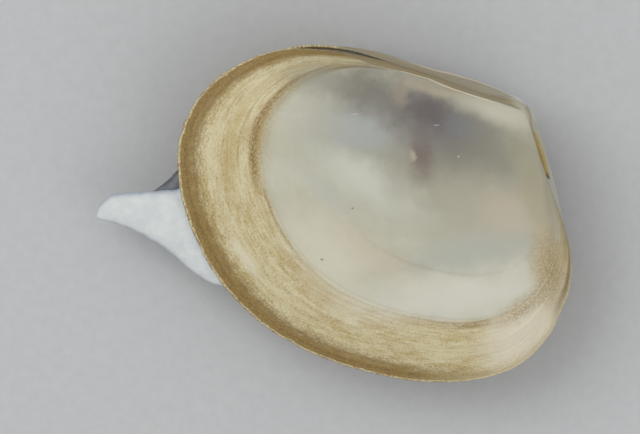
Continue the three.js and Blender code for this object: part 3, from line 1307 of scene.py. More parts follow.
@dataclass(frozen=True)
class MantleFinish:
    """Thin grey web of mantle edge, half clear, with paler strands across it and a painted shade that darkens
    it towards the gape.
    """

    name: str = "mantle_web"
    grey: Colour = rgb(68, 68, 72)
    pale: Colour = rgb(120, 124, 130)

    def build(self, effects: Effects) -> bpy.types.Material:
        """Makes the material.

        Args:
            effects: the shared groups.

        Returns:
            The material.
        """
        material, graph, shader = new_material(self.name)
        place = graph.millimetres()
        edge_shade = graph.add("ShaderNodeAttribute", attribute_name="edge_shade").outputs["Fac"]
        strands = effects.use(graph, effects.grain_group, Position=place, Size=0.6, Share=0.5, Edge=0.2)
        pores = effects.use(graph, effects.grain_group, Position=place, Size=0.15, Share=0.5, Edge=0.15)
        colour = graph.mix(graph.times(strands, 0.3), self.pale, self.grey)
        # Painted shade: the web goes dark grey towards its edge at the gape, under the valve's margin.
        colour = graph.mix(graph.rise(edge_shade, 0.0, 0.5), colour, self.grey)
        colour = graph.mix(graph.times(pores, 0.15), colour, rgb(70, 68, 76))
        graph.feed(shader.inputs["Base Color"], colour)
        graph.feed(shader.inputs["Roughness"], graph.scaled(pores, 0.1, 0.38))
        graph.feed(shader.inputs["Alpha"], graph.scaled(edge_shade, -0.4, 0.9))
        shader.inputs["Subsurface Weight"].default_value = 0.25
        shader.inputs["Subsurface Radius"].default_value = (0.8, 0.8, 0.9)
        shader.inputs["Subsurface Scale"].default_value = 0.0005
        bump = graph.add("ShaderNodeBump", {"Height": strands, "Strength": 0.4, "Distance": 0.00005})
        graph.feed(shader.inputs["Normal"], bump.outputs[0])
        return material


@dataclass(frozen=True)
class FloorFinish:
    """Plain pale matt floor with a barely visible grain."""

    name: str = "pale_floor"
    light: Colour = rgb(180, 181, 182)
    shade: Colour = rgb(176, 177, 178)

    def build(self, effects: Effects) -> bpy.types.Material:
        """Makes the material.

        Args:
            effects: the shared groups.

        Returns:
            The material.
        """
        material, graph, shader = new_material(self.name)
        place = graph.millimetres()
        grain = effects.use(graph, effects.grain_group, Position=place, Size=1.2, Share=0.5, Edge=0.25)
        graph.feed(shader.inputs["Base Color"], graph.mix(grain, self.light, self.shade))
        graph.feed(shader.inputs["Roughness"], graph.scaled(grain, 0.05, 0.85))
        return material


# ---------------------------------------------------------------------------------------------
# Pieces
# ---------------------------------------------------------------------------------------------


class Side(Enum):
    """Which valve: the sign of its side of the plane between the valves."""

    LEFT = 1
    RIGHT = -1


@dataclass(frozen=True)
class Ease:
    """Local change of a margin: where it is, how far round it reaches, and mm outwards."""

    around: float
    half_width: float
    outward: float


@dataclass
class Valve:
    """One valve: a fine grid over its growth law, with ridges, checks, crest, folds and nicks.

    The outside carries most of the points. The wall's inside is a smaller copy drawn in towards
    the middle, and the rim joins the two along the margin.
    """

    side: Side
    name: str
    body: str
    frame: ShellFrame
    margin: Margin
    growth: GrowthLaw
    easing: tuple[Ease, ...]
    nicks: tuple[Ease, ...]
    columns: int = 400
    outer_rows: int = 184
    inner_rows: int = 46
    seed: int = 5
    check_stage: float = 0.757
    old_check_stage: float = 0.585
    ridge_height: float = 0.04
    crest_height: float = 0.13
    crest_half_width: float = 0.2
    inner_spread: float = 0.972
    rim_spread: float = 0.990
    inner_depth: float = 0.9
    flank_swell: float = 0.0

    def around(self) -> Array:
        """Shares round the margin, closer together at the dorsal crest and the ligament.

        Returns:
            The shares round the margin.
        """

        def density(u: Array) -> Array:
            """Even, with two crowded stretches.

            Args:
                u: the shares round the margin.

            Returns:
                How close the steps lie.
            """
            return 1.0 + 1.8 * bell(u, 0.85, 0.045) + 0.8 * bell(u, 0.035, 0.03)

        return crowded(self.columns, density)[:-1]

    def stages(self, rows: int) -> Array:
        """Stages from just past the beak to the margin, closer together past the last check.

        Args:
            rows: the number of rows.

        Returns:
            The stages, by row.
        """

        def density(g: Array) -> Array:
            """Even, with more near the beak and past the check.

            Args:
                g: the stages of growth.

            Returns:
                How close the steps lie.
            """
            return 1.0 + 0.8 * smoothstep(g, 0.70, 0.76) + 0.8 * bell(g, 0.0, 0.12)

        return crowded(rows, density)[1:]

    def worn(self, around: Array, stage: Array) -> Array:
        """Stage after the margin's nicks, chips and waves have taken their share.

        Args:
            around: the share round the margin.
            stage: the stage of growth.

        Returns:
            The stage that is left.
        """
        nick = sum(n.outward * bell(around, n.around, n.half_width) for n in self.nicks)
        chips = 0.10 * np.maximum(0.0, wander(around * 300, self.seed + 1, 300) - 0.45)
        chips = chips * smoothstep(around, 0.24, 0.34) * (1 - smoothstep(around, 0.80, 0.86))
        waves = 0.05 * wander(around * 60, self.seed + 2, 60)
        lost = (nick + chips + waves) / 44.0 * smoothstep(stage, 0.94, 1.0)
        return stage - lost

    def relief(self, around: Array, stage: Array, room: Array) -> Array:
        """Height of the outside above the smooth growth law, in mm.

        It is the sum of fine ridges along growth, a groove at each check, a thin dorsal crest with
        a hollow flank behind it, a low fold to the hind corner, a swelling of the flank and a slow
        unevenness.

        Args:
            around: share round the valve at each point.
            stage: growth stage at each point.
            room: width of a stage there, relative to the widest, which scales the ridges.

        Returns:
            The height at each point.
        """
        sway = 1.4 * wander(around * 22, self.seed + 3, 22) + 0.6 * wander(around * 61, self.seed + 4, 61)
        ridges = wander(stage * 118 + sway, self.seed) + 0.6 * wander(stage * 47 + 0.5 * sway, self.seed + 5)
        skin = smoothstep(stage, self.check_stage - 0.01, self.check_stage + 0.02)
        height = self.ridge_height * room * (0.22 + 0.78 * skin) * ridges
        drift = 0.004 * wander(around * 30, self.seed + 6, 30)
        height -= 0.11 * room * bell(stage, self.check_stage + drift, 0.005)
        height += 0.07 * room * bell(stage, self.check_stage + 0.016 + drift, 0.009)
        height -= 0.035 * room * bell(stage, self.old_check_stage + drift, 0.006)
        line = np.interp(stage, *zip(*CREST_LINE))
        away = (around - line) * GIRTH * stage
        held = smoothstep(stage, 0.08, 0.2) * (1 - smoothstep(stage, 0.70, 0.80))
        height += held * self.crest_height * bell(away, 0.0, self.crest_half_width)
        height -= held * 0.6 * self.crest_height * bell(away, 0.55, 0.35)
        fold = (around - 0.205 + 0.05 * (1 - stage)) * GIRTH * stage
        height += 0.10 * smoothstep(stage, 0.2, 0.5) * bell(fold, 0.0, 1.5)
        height -= 0.07 * smoothstep(stage, 0.2, 0.5) * bell(fold, -2.4, 1.6)
        slow = wander(around * 9 + 2.0 * stage, self.seed + 7, 9) * wander(stage * 7, self.seed + 8)
        swell = self.flank_swell * bell(around, 0.83, 0.07) * bell(stage, 0.86, 0.10)
        return height + swell + 0.06 * smoothstep(stage, 0.1, 0.3) * slow

    def surfaces(self) -> tuple[Array, Array, Array, Array, Array, Array]:
        """Grids of the outside and the inside of a left valve with their shares and stages.

        Returns:
            Outside points, their shares and stages, then inside points, their shares and stages.
        """
        shares = self.around()
        margin = self.margin.points(shares)
        for ease in self.easing:
            gap = (shares - ease.around + 0.5) % 1.0 - 0.5
            margin += (ease.outward * bell(gap, 0.0, ease.half_width))[:, None] * self.margin.outward(shares)
        outer_stage, outer_share = np.meshgrid(self.stages(self.outer_rows), shares, indexing="ij")
        inner_stage, inner_share = np.meshgrid(self.stages(self.inner_rows)[::-1], shares, indexing="ij")
        smooth = self.growth.surface(margin, self.worn(outer_share, outer_stage))
        width = np.linalg.norm(np.gradient(smooth, axis=0), axis=2) / np.gradient(outer_stage, axis=0)
        room = np.clip(width / 42.0, 0.0, 1.0)
        lift = self.relief(outer_share, outer_stage, room)
        outer = smooth + lift[..., None] * unit_normals(smooth) * self._outward_sign(smooth)
        inner = self.growth.surface(margin, self.worn(inner_share, inner_stage))
        spread = self.inner_spread + (self.rim_spread - self.inner_spread) * smoothstep(inner_stage, 0.9, 1.0)
        inner = self.growth.drawn_in(inner, spread, self.inner_depth)
        return outer, outer_share, outer_stage, inner, inner_share, inner_stage

    def _outward_sign(self, grid: Array) -> float:
        """1 if unit_normals of the grid points out of the dome, else -1.

        Args:
            grid: the surface points, by row and column.

        Returns:
            1 or -1.
        """
        return float(np.sign(np.median(unit_normals(grid)[..., 2])))

    def build(self, outer_finish: bpy.types.Material, lining: bpy.types.Material) -> bpy.types.Object:
        """Makes the valve, gives it its maps and finishes, and hangs it on its body.

        Args:
            outer_finish: the outer material.
            lining: the inner material.

        Returns:
            The object.
        """
        outer, outer_share, outer_stage, inner, inner_share, inner_stage = self.surfaces()
        apex = np.array([[0.0, 0.0, self.growth.beak_height]])
        inner_apex = self.growth.drawn_in(apex, np.full(1, self.inner_spread), self.inner_depth)
        points = np.vstack([outer.reshape(-1, 3), inner.reshape(-1, 3), apex, inner_apex])
        shares = np.concatenate([outer_share.ravel(), inner_share.ravel(), [np.nan, np.nan]])
        stages = np.concatenate([outer_stage.ravel(), inner_stage.ravel(), [0.0, 0.0]])
        points[:, 2] = self.side.value * (points[:, 2] + self.growth.half_gap)
        rows = self.outer_rows + self.inner_rows
        quads = ring_quads(rows, self.columns)
        last = len(points)
        triangles = np.vstack([
            cap_triangles(0, self.columns, last - 2, False),
            cap_triangles((rows - 1) * self.columns, self.columns, last - 1, True),
        ])
        if self.side is Side.RIGHT:
            quads, triangles = quads[:, ::-1], triangles[:, ::-1]
        placed = self.frame.place(points, self.side.value)
        placed[:, 2] = np.maximum(placed[:, 2], 0.0)
        mesh = new_mesh(self.name, placed, quads, triangles)
        growth_uv(mesh, [quads, triangles], shares, stages, points[:, :2])
        inside = np.zeros(len(mesh.polygons), np.int32)
        inside[self.outer_rows * self.columns: len(quads)] = 1
        inside[len(quads) + self.columns:] = 1
        valve = new_object(self.name, mesh, [outer_finish, lining])
        mesh.polygons.foreach_set("material_index", inside)
        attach(valve, self.body)
        return valve


@dataclass
class Ligament:
    """Short horny band outside the hinge line: an egg-shaped bar whose thick inner side fills the
    seat between the valves. Round the bar, the section is radius cos(angle) outwards, longer on
    the inner side, and radius sin(angle) across."""

    frame: ShellFrame
    profile: tuple[tuple[float, float], ...] = (
        (-2.4, 0.05), (-2.1, 0.13), (-1.6, 0.22), (-0.8, 0.30), (0.4, 0.33), (1.4, 0.30), (2.4, 0.22),
        (3.1, 0.12), (3.6, 0.04),
    )
    rows: int = 120
    columns: int = 72
    inner_reach: float = 3.0
    inset: float = 0.22
    blend_reach: float = 0.35

    def build(self, finish: bpy.types.Material) -> bpy.types.Object:
        """Makes the ligament and lays it along the hinge line between the two valves.

        Args:
            finish: its material.

        Returns:
            The object.
        """
        profile = np.array(self.profile)
        where = np.linspace(0, len(profile) - 1, self.rows)
        line = catmull_rom(profile, False, where)
        angle = np.linspace(0, 2 * np.pi, self.columns, endpoint=False)
        share, theta = np.meshgrid(np.linspace(0, 1, self.rows), angle, indexing="ij")
        radius = line[:, 1:2] * (1 + 0.035 * wander(theta / (2 * np.pi) * 30, 41, 30))
        radius = radius * (1 + 0.03 * wander(share * 18 + 2 * np.cos(theta), 42))
        out = radius * np.cos(theta)
        out = np.where(out < 0, out * self.inner_reach, out)
        along = heading(self.frame.hinge_direction)
        outward = np.cross([0.0, 0.0, 1.0], along)
        base = np.array(self.frame.hinge_point) + line[:, :1, None] * along - self.inset * outward
        upright = (radius * np.sin(theta))[..., None] * np.array([0.0, 0.0, 1.0])
        grid = base + out[..., None] * outward + upright
        ends = base[[0, -1], 0] + np.array([[-0.06], [0.06]]) * along
        points = np.vstack([grid.reshape(-1, 3), ends])
        quads = ring_quads(self.rows, self.columns)
        triangles = np.vstack([
            cap_triangles(0, self.columns, len(points) - 2, False),
            cap_triangles((self.rows - 1) * self.columns, self.columns, len(points) - 1, True),
        ])
        mesh = new_mesh("ligament_band", self.frame.place(points), quads, triangles)
        fibre = np.vstack([np.stack([share, theta / (2 * np.pi)], -1).reshape(-1, 2), [[0, 0], [1, 0]]])
        layer = mesh.uv_layers.new(name="fibre")
        loops = np.concatenate([quads.ravel(), triangles.ravel()])
        layer.data.foreach_set("uv", fibre[loops].astype(np.float32).ravel())
        band = new_object("ligament_band", mesh, [finish])
        outward_faces(band)
        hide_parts("ligament")
        across = np.array([[0.0, 0.0, -self.blend_reach], [0.0, 0.0, self.blend_reach]])
        start, end = self.frame.place(np.array(self.frame.hinge_point) + across)
        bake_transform(band)
        return band


def outward_faces(piece: bpy.types.Object) -> None:
    """Turns a closed piece's faces outwards if the volume inside them comes out negative.

    Args:
        piece: the object to mend.
    """
    mesh = piece.data
    mesh.calc_loop_triangles()
    corners = np.zeros(len(mesh.loop_triangles) * 3, np.int32)
    mesh.loop_triangles.foreach_get("vertices", corners)
    points = np.zeros(len(mesh.vertices) * 3, np.float32)
    mesh.vertices.foreach_get("co", points)
    a, b, c = np.moveaxis(points.reshape(-1, 3)[corners.reshape(-1, 3)], 1, 0)
    if np.einsum("ij,ij->i", a, np.cross(b, c)).sum() < 0:
        mesh.flip_normals()
        LOG.info("%s: faces turned outwards", piece.name)


def blade(sections: Array, rows: int, columns: int, squareness: float) -> Array:
    """Flattened body through sections of x, y, half width and half thickness.

    Round each section, the point is at half width |cos|^(2/s) and half thickness |sin|^(2/s),
    with the signs of the cosine and sine, where s is the squareness.

    Args:
        sections: rows of x, y, half width and half thickness.
        rows: rows of points along the blade.
        columns: points round each section.
        squareness: 2 for an ellipse, more for a fuller section.

    Returns:
        Points of shape (rows, columns, 3).
    """
    where = np.linspace(0, len(sections) - 1, rows)
    spine = catmull_rom(sections[:, :2], False, where)
    girth = catmull_rom(sections[:, 2:], False, where)
    angle = np.linspace(0, 2 * np.pi, columns, endpoint=False)
    wide = np.sign(np.cos(angle)) * np.abs(np.cos(angle)) ** (2 / squareness)
    thick = np.sign(np.sin(angle)) * np.abs(np.sin(angle)) ** (2 / squareness)
    x = np.repeat(spine[:, :1], columns, axis=1)
    return np.stack([x, spine[:, 1:] + girth[:, :1] * wide, girth[:, 1:] * thick], axis=-1)


def closed_tube(grid: Array) -> tuple[Array, Array, Array]:
    """Closes a grid of rings at both ends with poles at the rings' middles.

    Args:
        grid: points of shape (rows, columns, 3).

    Returns:
        Points, quads and triangles.
    """
    rows, columns, _ = grid.shape
    points = np.vstack([grid.reshape(-1, 3), grid[0].mean(0), grid[-1].mean(0)])
    triangles = np.vstack([
        cap_triangles(0, columns, len(points) - 2, False),
        cap_triangles((rows - 1) * columns, columns, len(points) - 1, True),
    ])
    return points, ring_quads(rows, columns), triangles


def plan_uv(mesh: bpy.types.Mesh, plan: Array) -> None:
    """Gives a mesh a map of the x and y of its points in the shell frame, in mm.

    Args:
        mesh: its mesh.
        plan: the points, of which x and y are used.
    """
    loops = np.zeros(len(mesh.loops), np.int32)
    mesh.loops.foreach_get("vertex_index", loops)
    layer = mesh.uv_layers.new(name="plan")
    layer.data.foreach_set("uv", plan[loops].astype(np.float32).ravel())


def vertex_field(mesh: bpy.types.Mesh, name: str, values: Array) -> None:
    """Stores one number at each vertex under a name.

    Args:
        mesh: its mesh.
        name: the name the numbers are kept under.
        values: one number for each vertex.
    """
    attribute = mesh.attributes.new(name, "FLOAT", "POINT")
    attribute.data.foreach_set("value", values.astype(np.float32))


@dataclass
class SoftBody:
    """The soft mass in the right valve with the foot, grown together into one skin."""

    frame: ShellFrame
    margin: Margin
    growth: GrowthLaw
    foot: tuple[tuple[float, float, float, float], ...] = (
        (-47.75, -12.65, 0.18, 0.15), (-47.5, -12.4, 0.6, 0.42),
        (-46.9, -12.05, 1.1, 0.7), (-45.7, -11.75, 1.6, 0.95),
        (-44.0, -11.9, 2.0, 1.1), (-41.3, -12.5, 2.8, 1.35), (-39.5, -13.0, 3.5, 1.5),
        (-37.5, -13.7, 4.6, 1.6), (-35.0, -14.4, 5.6, 1.7), (-31.0, -14.4, 6.3, 1.8),
        (-25.0, -13.8, 6.6, 1.8), (-20.0, -13.0, 5.0, 1.4),
    )
    squareness: float = 2.3
    spread: float = 0.76
    depth: float = 0.84
    crown: float = 0.06
    voxel: float = 0.24

    def mass(self) -> tuple[Array, Array, Array]:
        """Soft mass: growth lines drawn in, deep below the plane and nearly level above it.

        Returns:
            The points, quads and triangles.
        """
        shares = np.linspace(0, 1, 160, endpoint=False)
        stage, _ = np.meshgrid(np.linspace(0.02, 1.0, 60), shares, indexing="ij")
        lines = self.growth.surface(self.margin.points(shares), stage)
        spread = np.full(stage.shape, self.spread)
        under = self.growth.drawn_in(lines, spread, -self.depth)
        over = self.growth.drawn_in(lines, spread, self.crown)[:-1][::-1]
        return closed_tube(np.concatenate([under, over]))

    def skin(self) -> bpy.types.Mesh:
        """Mesh of the mass and the foot, joined by a fine voxel skin.

        Returns:
            The mesh.
        """
        made = []
        mass = self.mass()
        foot = closed_tube(blade(np.array(self.foot), 150, 96, self.squareness))
        for points, quads, triangles in (mass, foot):
            made.append(new_object("growing", new_mesh("growing", points, quads, triangles), []))
            outward_faces(made[-1])
        made[0].modifiers.new("join", "BOOLEAN").object = made[1]
        made[0].modifiers["join"].operation = "UNION"
        remesh = made[0].modifiers.new("skin", "REMESH")
        remesh.mode = "VOXEL"
        remesh.voxel_size = self.voxel
        smooth = made[0].modifiers.new("ease", "SMOOTH")
        smooth.factor = 0.5
        smooth.iterations = 6
        evaluated = made[0].evaluated_get(bpy.context.evaluated_depsgraph_get())
        mesh = bpy.data.meshes.new_from_object(evaluated)
        for piece in made:
            bpy.data.objects.remove(piece)
        return mesh

    def build(self, finish: bpy.types.Material) -> bpy.types.Object:
        """Makes the soft body, adds its fine unevenness and hangs it on the lower shell.

        Args:
            finish: its material.

        Returns:
            The object.
        """
        mesh = self.skin()
        points = np.zeros(len(mesh.vertices) * 3, np.float32)
        mesh.vertices.foreach_get("co", points)
        points = points.reshape(-1, 3).astype(float)
        normals = np.zeros(len(mesh.vertices) * 3, np.float32)
        mesh.vertex_normals.foreach_get("vector", normals)
        normals = normals.reshape(-1, 3)
        inside = smoothstep(points[:, 0], -36.0, -26.0)
        lumps = 0.035 * ripples(points, 1.8, 51) + 0.010 * ripples(points, 0.5, 52, 11)
        lumps += 0.30 * inside * ripples(points, 7.0, 53)
        creases = 0.012 * (1 - inside) * np.sin(points[:, 0] * 4.2 + 1.5 * ripples(points, 3.0, 54))
        points += (lumps + creases)[:, None] * normals
        mesh.vertices.foreach_set("co", self.frame.place(points).astype(np.float32).ravel())
        mesh.polygons.foreach_set("use_smooth", np.ones(len(mesh.polygons), bool))
        mesh.update()
        plan_uv(mesh, points[:, :2])
        # Weight of the painted shade on the foot's steep sides: 1 where the skin turns side-on to the valves'
        # axis, 0 where it faces along it.
        vertex_field(mesh, "edge_shade", 1 - smoothstep(np.abs(normals[:, 2]), 0.25, 0.93))
        body = new_object("foot_and_body", mesh, [finish])
        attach(body, "lower_shell")
        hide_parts("soft_body")
        return body


@dataclass
class MantleEdge:
    """Scrap of mantle edge: a thin web from the gape down to the foot's upper edge."""

    frame: ShellFrame
    sections: tuple[tuple[float, float, float, float], ...] = (
        (-41.3, -9.75, 0.1, 0.06), (-40.6, -9.55, 0.3, 0.14), (-39.8, -9.2, 0.6, 0.22),
        (-39.0, -8.75, 0.95, 0.27), (-38.0, -8.1, 1.35, 0.3), (-36.8, -7.3, 1.75, 0.32),
        (-35.6, -6.7, 1.6, 0.3), (-34.6, -6.4, 1.1, 0.22),
    )

    def build(self, finish: bpy.types.Material) -> bpy.types.Object:
        """Makes the web and hangs it on the lower shell.

        Args:
            finish: its material.

        Returns:
            The object.
        """
        grid = blade(np.array(self.sections), 80, 64, 2.0)
        flat = grid.reshape(-1, 3)
        flat[:, 2] += 0.10 * ripples(flat * [1.0, 1.0, 0.0], 2.2, 61)
        flat[:, 1] += 0.06 * ripples(flat * [1.0, 0.4, 0.0], 1.3, 62)
        points, quads, triangles = closed_tube(flat.reshape(grid.shape))
        mesh = new_mesh("mantle_web", self.frame.place(points), quads, triangles)
        angle = np.tile(np.linspace(0, 2 * np.pi, 64, endpoint=False), 80)
        # Weight of the painted shade at the web's edge by the gape, which also makes the web clearer there: 1
        # at that edge, 0 on its lower half.
        vertex_field(mesh, "edge_shade", np.concatenate([np.maximum(0.0, np.cos(angle)) ** 2, [1.0, 1.0]]))
        web = new_object("mantle_web", mesh, [finish])
        outward_faces(web)
        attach(web, "lower_shell")
        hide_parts("mantle_edge")
        return web


@dataclass
class Studio:
    """Pale floor, soft lights and a long-lensed camera above the shell."""

    frame: ShellFrame
    towards_camera: tuple[float, float, float] = (0.0093, 0.0886, 0.996)
    up: tuple[float, float, float] = (0.0033, 0.9961, -0.0886)
    aim_right: float = -22.55
    aim_up: float = -11.99
    view_width: float = 70.4
    distance: float = 2000.0
    sensor: float = 36.0
    floor_size: float = 1.6
    sky: float = 0.72

    def camera(self) -> None:
        """Camera square to its line of sight, with the view width at the beaks' distance."""
        back = Vector(self.towards_camera).normalized()
        right = Vector(self.up).cross(back).normalized()
        up = back.cross(right)
        beaks = Vector(self.frame.place(np.zeros(3)))
        aim = beaks + (right * self.aim_right + up * self.aim_up) * MILLIMETRE
        data = bpy.data.cameras.new("camera")
        data.sensor_width = self.sensor
        data.lens = self.sensor * self.distance / self.view_width
        data.clip_start = 0.05
        data.clip_end = 20.0
        camera = bpy.data.objects.new("camera", data)
        turn = Matrix((right, up, back)).transposed().to_4x4()
        camera.matrix_world = Matrix.Translation(aim + back * self.distance * MILLIMETRE) @ turn
        bpy.context.scene.collection.objects.link(camera)
        bpy.context.scene.camera = camera

    def light(self, name: str, place: tuple[float, float, float], size: float, power: float) -> None:
        """Square soft light aimed at the middle of the shell.

        Args:
            name: the name of the light.
            place: where it stands, in metres.
            size: its side, in metres.
            power: its power, in watts.
        """
        data = bpy.data.lights.new(name, "AREA")
        data.size = size
        data.energy = power
        lamp = bpy.data.objects.new(name, data)
        lamp.location = place
        lamp.rotation_euler = (-Vector(place)).to_track_quat("-Z", "Y").to_euler()
        bpy.context.scene.collection.objects.link(lamp)

    def floor(self, finish: bpy.types.Material) -> None:
        """Level floor under the shell.

        Args:
            finish: its material.
        """
        half = self.floor_size / 2
        points = np.array([[-half, -half, 0], [half, -half, 0], [half, half, 0], [-half, half, 0]], float)
        mesh = new_mesh("floor", points, np.array([[0, 1, 2, 3]]), np.zeros((0, 3), int))
        new_object("floor", mesh, [finish])

    def build(self, floor_finish: bpy.types.Material) -> None:
        """Sets the stage.

        Args:
            floor_finish: the material of the floor.
        """
        self.camera()
        self.floor(floor_finish)
        self.light("key_light", (-0.35, 0.30, 0.55), 0.5, 2.0)
        self.light("fill_light", (0.40, -0.35, 0.45), 0.6, 1.0)
        world = bpy.data.worlds.new("sky")
        world.use_nodes = True
        world.node_tree.nodes["Background"].inputs["Color"].default_value = (1.0, 1.0, 1.0, 1.0)
        world.node_tree.nodes["Background"].inputs["Strength"].default_value = self.sky
        bpy.context.scene.world = world
        bpy.context.scene.view_settings.view_transform = "Standard"


LEFT_STAINS = (
    Stain(rgb(131, 128, 116), 0.80, (-9.8, -3.8), (11.9, 6.6), -26.0, 0.80, 3.4),
    Stain(rgb(122, 120, 106), 0.68, (-4.9, -3.7), (5.2, 3.9), -28.0, 0.80, 2.6),
    Stain(rgb(132, 129, 114), 0.70, (-20.2, 3.4), (5.4, 1.5), -6.0, 0.70, 1.8, Rag.CLOSE),
    Stain(rgb(152, 153, 143), 0.50, (-21.4, -1.2), (3.2, 3.8), -20.0, 0.80, 2.8),
    Stain(rgb(108, 105, 97), 0.80, (-16.0, 1.3), (4.3, 2.6), -20.0, 0.60, 2.4, Rag.CLOSE),
    Stain(rgb(150, 154, 150), 0.85, (-17.6, -1.6), (2.9, 2.0), -12.0, 0.70, 2.2, Rag.CLOSE),
    Stain(rgb(186, 188, 175), 0.85, (-16.2, -7.4), (6.2, 2.1), -28.0, 0.70, 2.6),
    Stain(rgb(108, 104, 101), 0.75, (-9.2, -1.0), (4.6, 3.0), -22.0, 0.75, 2.6),
    Stain(rgb(88, 80, 80), 0.80, (-10.4, 0.5), (3.0, 1.8), -20.0, 0.80, 2.2, Rag.CLOSE),
    Stain(rgb(112, 117, 120), 0.50, (-6.9, -1.0), (1.8, 1.0), -10.0, 0.70, 1.4, Rag.CLOSE),
    Stain(rgb(106, 93, 86), 0.85, (-11.0, -4.6), (1.2, 3.0), 6.0, 0.70, 1.8, Rag.CLOSE),
    Stain(rgb(146, 142, 128), 0.50, (-13.6, -6.4), (1.6, 2.4), 0.0, 0.70, 1.8, Rag.CLOSE),
    Stain(rgb(160, 148, 128), 0.42, (-13.4, 2.5), (0.8, 1.1), -28.0, 0.95, 2.2, Rag.CLOSE),
    Stain(rgb(170, 159, 136), 0.65, (-9.4, 2.7), (3.4, 0.6), -16.0, 0.70, 0.8, Rag.CLOSE),
    Stain(rgb(142, 142, 128), 0.70, (-9.6, -8.8), (2.3, 1.3), -20.0, 0.60, 1.8, Rag.CLOSE),
    Stain(rgb(180, 178, 162), 0.40, (-10.9, -8.5), (1.0, 0.5), -40.0, 0.80, 1.8, Rag.CLOSE),
    Stain(rgb(166, 161, 143), 0.65, (-5.0, -10.2), (8.0, 3.4), -14.0, 0.80, 2.8),
    Stain(rgb(186, 172, 150), 0.40, (-1.4, -10.6), (3.2, 2.2), -30.0, 0.80, 2.4),
    Stain(rgb(166, 168, 160), 0.45, (-21.6, -8.2), (4.0, 1.1), -38.0, 0.70, 1.6),
    Stain(rgb(163, 165, 156), 0.70, (-5.6, -15.2), (6.8, 2.0), 6.0, 0.70, 2.2),
    Stain(rgb(194, 180, 160), 0.40, (-16.5, -15.5), (6.0, 1.6), -38.0, 0.80, 2.6),
    Stain(rgb(202, 198, 178), 0.60, (-21.5, -16.5), (5.6, 2.8), -50.0, 0.80, 2.4),
    Stain(rgb(205, 203, 190), 0.74, (-7.0, -20.2), (10.5, 2.5), 6.0, 0.80, 2.8),
    Stain(rgb(194, 189, 172), 0.80, (-2.2, 0.2), (4.2, 1.0), -18.0, 0.80, 1.0),
    Stain(rgb(160, 152, 124), 0.60, (1.3, -8.6), (5.8, 1.5), -72.0, 0.70, 1.2),
    Stain(rgb(190, 178, 144), 0.85, (2.6, -17.6), (4.6, 1.7), 96.0, 0.60, 1.8),
    Stain(rgb(202, 194, 168), 0.80, (-0.6, -22.8), (4.6, 1.7), 36.0, 0.60, 1.8),
    Stain(rgb(210, 203, 184), 0.80, (-0.4, -25.4), (4.8, 2.4), 40.0, 0.70, 1.8),
    Stain(rgb(124, 94, 34), 0.66, (2.7, -17.4), (3.9, 1.5), 96.0, 0.80, 1.8, Rag.CLOSE, 0.7),
    Stain(rgb(126, 97, 38), 0.62, (-0.2, -21.6), (3.0, 1.0), 36.0, 0.70, 1.6, Rag.CLOSE, 0.8),
    Stain(rgb(208, 204, 184), 0.45, (-31.0, -16.4), (2.8, 0.6), -52.0, 0.60, 0.8),
    Stain(rgb(172, 160, 138), 0.60, (-12.1, -4.1), (0.35, 0.6), 20.0, 0.60, 1.2, Rag.CLOSE),
    Stain(rgb(184, 186, 178), 0.45, (-18.4, 0.25), (0.45, 0.06), 8.0, 0.50, 0.1),
    Stain(rgb(170, 172, 170), 0.60, (-9.4, -0.85), (0.30, 0.06), 4.0, 0.50, 0.1),
    Stain(rgb(178, 178, 170), 0.65, (-7.0, -4.2), (0.11, 0.11), 0.0, 0.50, 0.1),
    Stain(rgb(118, 102, 78), 0.75, (-18.7, -10.0), (0.12, 0.12), 0.0, 0.50, 0.1),
    Stain(rgb(128, 110, 82), 0.75, (-22.2, -16.0), (0.16, 0.12), 0.0, 0.50, 0.1),
)
RIGHT_STAINS = (
    Stain(rgb(136, 132, 119), 0.65, (-7.5, -3.5), (8.6, 6.0), -30.0, 0.75, 3.0),
    Stain(rgb(108, 102, 98), 0.60, (-10.5, -0.6), (3.6, 2.2), -14.0, 0.60, 2.0, Rag.CLOSE),
    Stain(rgb(186, 188, 178), 0.60, (-18.5, -8.0), (6.0, 3.0), 20.0, 0.70, 2.4),
    Stain(rgb(206, 204, 189), 0.65, (-10.5, -18.4), (8.0, 2.8), 12.0, 0.75, 2.0),
    Stain(rgb(196, 199, 203), 0.85, (-1.0, 0.4), (3.4, 1.6), -14.0, 0.70, 0.8),
    Stain(rgb(132, 110, 68), 0.50, (1.8, -18.6), (3.2, 1.4), 84.0, 0.60, 1.6, Rag.CLOSE, 0.85),
)
LEFT_NICKS = (
    Ease(0.728, 0.0020, 0.45), Ease(0.736, 0.0016, 0.28), Ease(0.668, 0.0030, 0.16),
    Ease(0.682, 0.0018, 0.18), Ease(0.452, 0.0030, 0.22), Ease(0.385, 0.0022, 0.16),
    Ease(0.300, 0.0016, 0.12),
)
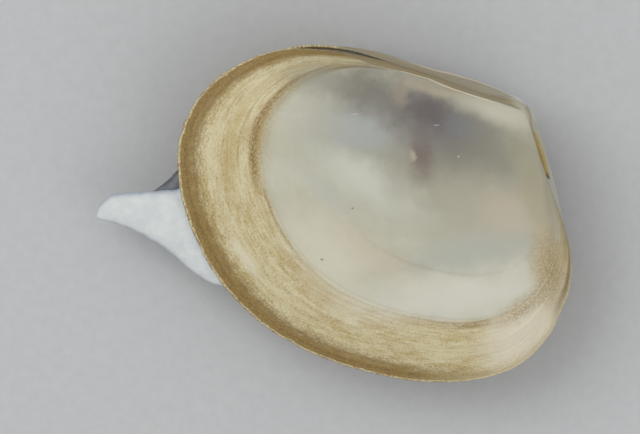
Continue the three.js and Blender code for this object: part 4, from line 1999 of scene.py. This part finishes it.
RIGHT_NICKS = (Ease(0.54, 0.0025, 0.3), Ease(0.33, 0.003, 0.25), Ease(0.61, 0.002, 0.2))
LEFT_EASING = (
    Ease(0.125, 0.040, 0.54), Ease(0.20, 0.032, -0.56), Ease(0.66, 0.07, 0.28), Ease(0.765, 0.05, -0.08),
    Ease(0.042, 0.018, -0.40),
)
RIGHT_EASING = (
    Ease(0.765, 0.035, -0.62), Ease(0.83, 0.035, 0.12), Ease(0.88, 0.03, -0.26), Ease(0.940, 0.028, -0.56),
    Ease(0.125, 0.045, 0.44), Ease(0.20, 0.032, -0.72), Ease(0.042, 0.018, -0.12),
)


def main() -> None:
    """Builds the clam and its stage."""
    logging.basicConfig(level=logging.INFO, format="%(name)s: %(message)s")
    shell = ShellFrame(tuple(frame["joints"][0]["pos_m"]))
    margin, growth, effects = Margin(), GrowthLaw(), Effects()
    lining = LiningFinish().build(effects)
    shape = (shell, margin, growth)
    upper = Valve(Side.LEFT, "left_valve_shell", "upper_shell", *shape, LEFT_EASING, LEFT_NICKS)
    lower = Valve(
        Side.RIGHT, "right_valve_shell", "lower_shell", *shape, RIGHT_EASING, RIGHT_NICKS,
        seed=25, flank_swell=0.45,
    )
    left = OuterFinish("left_valve_outside", 2.0, LEFT_STAINS, rgb(124, 109, 84))
    right = OuterFinish(
        "right_valve_outside", 9.0, RIGHT_STAINS, rgb(142, 137, 124),
        hinge_dark=rgb(160, 162, 158), hinge_light=rgb(190, 191, 186),
    )
    pieces = []
    for valve, node, finish in ((upper, "left_valve", left), (lower, "right_valve", right)):
        pieces.append(valve.build(finish.build(effects), lining))
        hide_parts(node)
    pieces.append(Ligament(shell).build(LigamentFinish().build(effects)))
    pieces.append(SoftBody(shell, margin, growth).build(FleshFinish().build(effects)))
    pieces.append(MantleEdge(shell).build(MantleFinish().build(effects)))
    for piece in pieces:
        piece.data.calc_loop_triangles()
        LOG.info("%s: %d triangles", piece.name, len(piece.data.loop_triangles))
    Studio(shell).build(FloorFinish().build(effects))


if __name__ == "__main__":
    main()
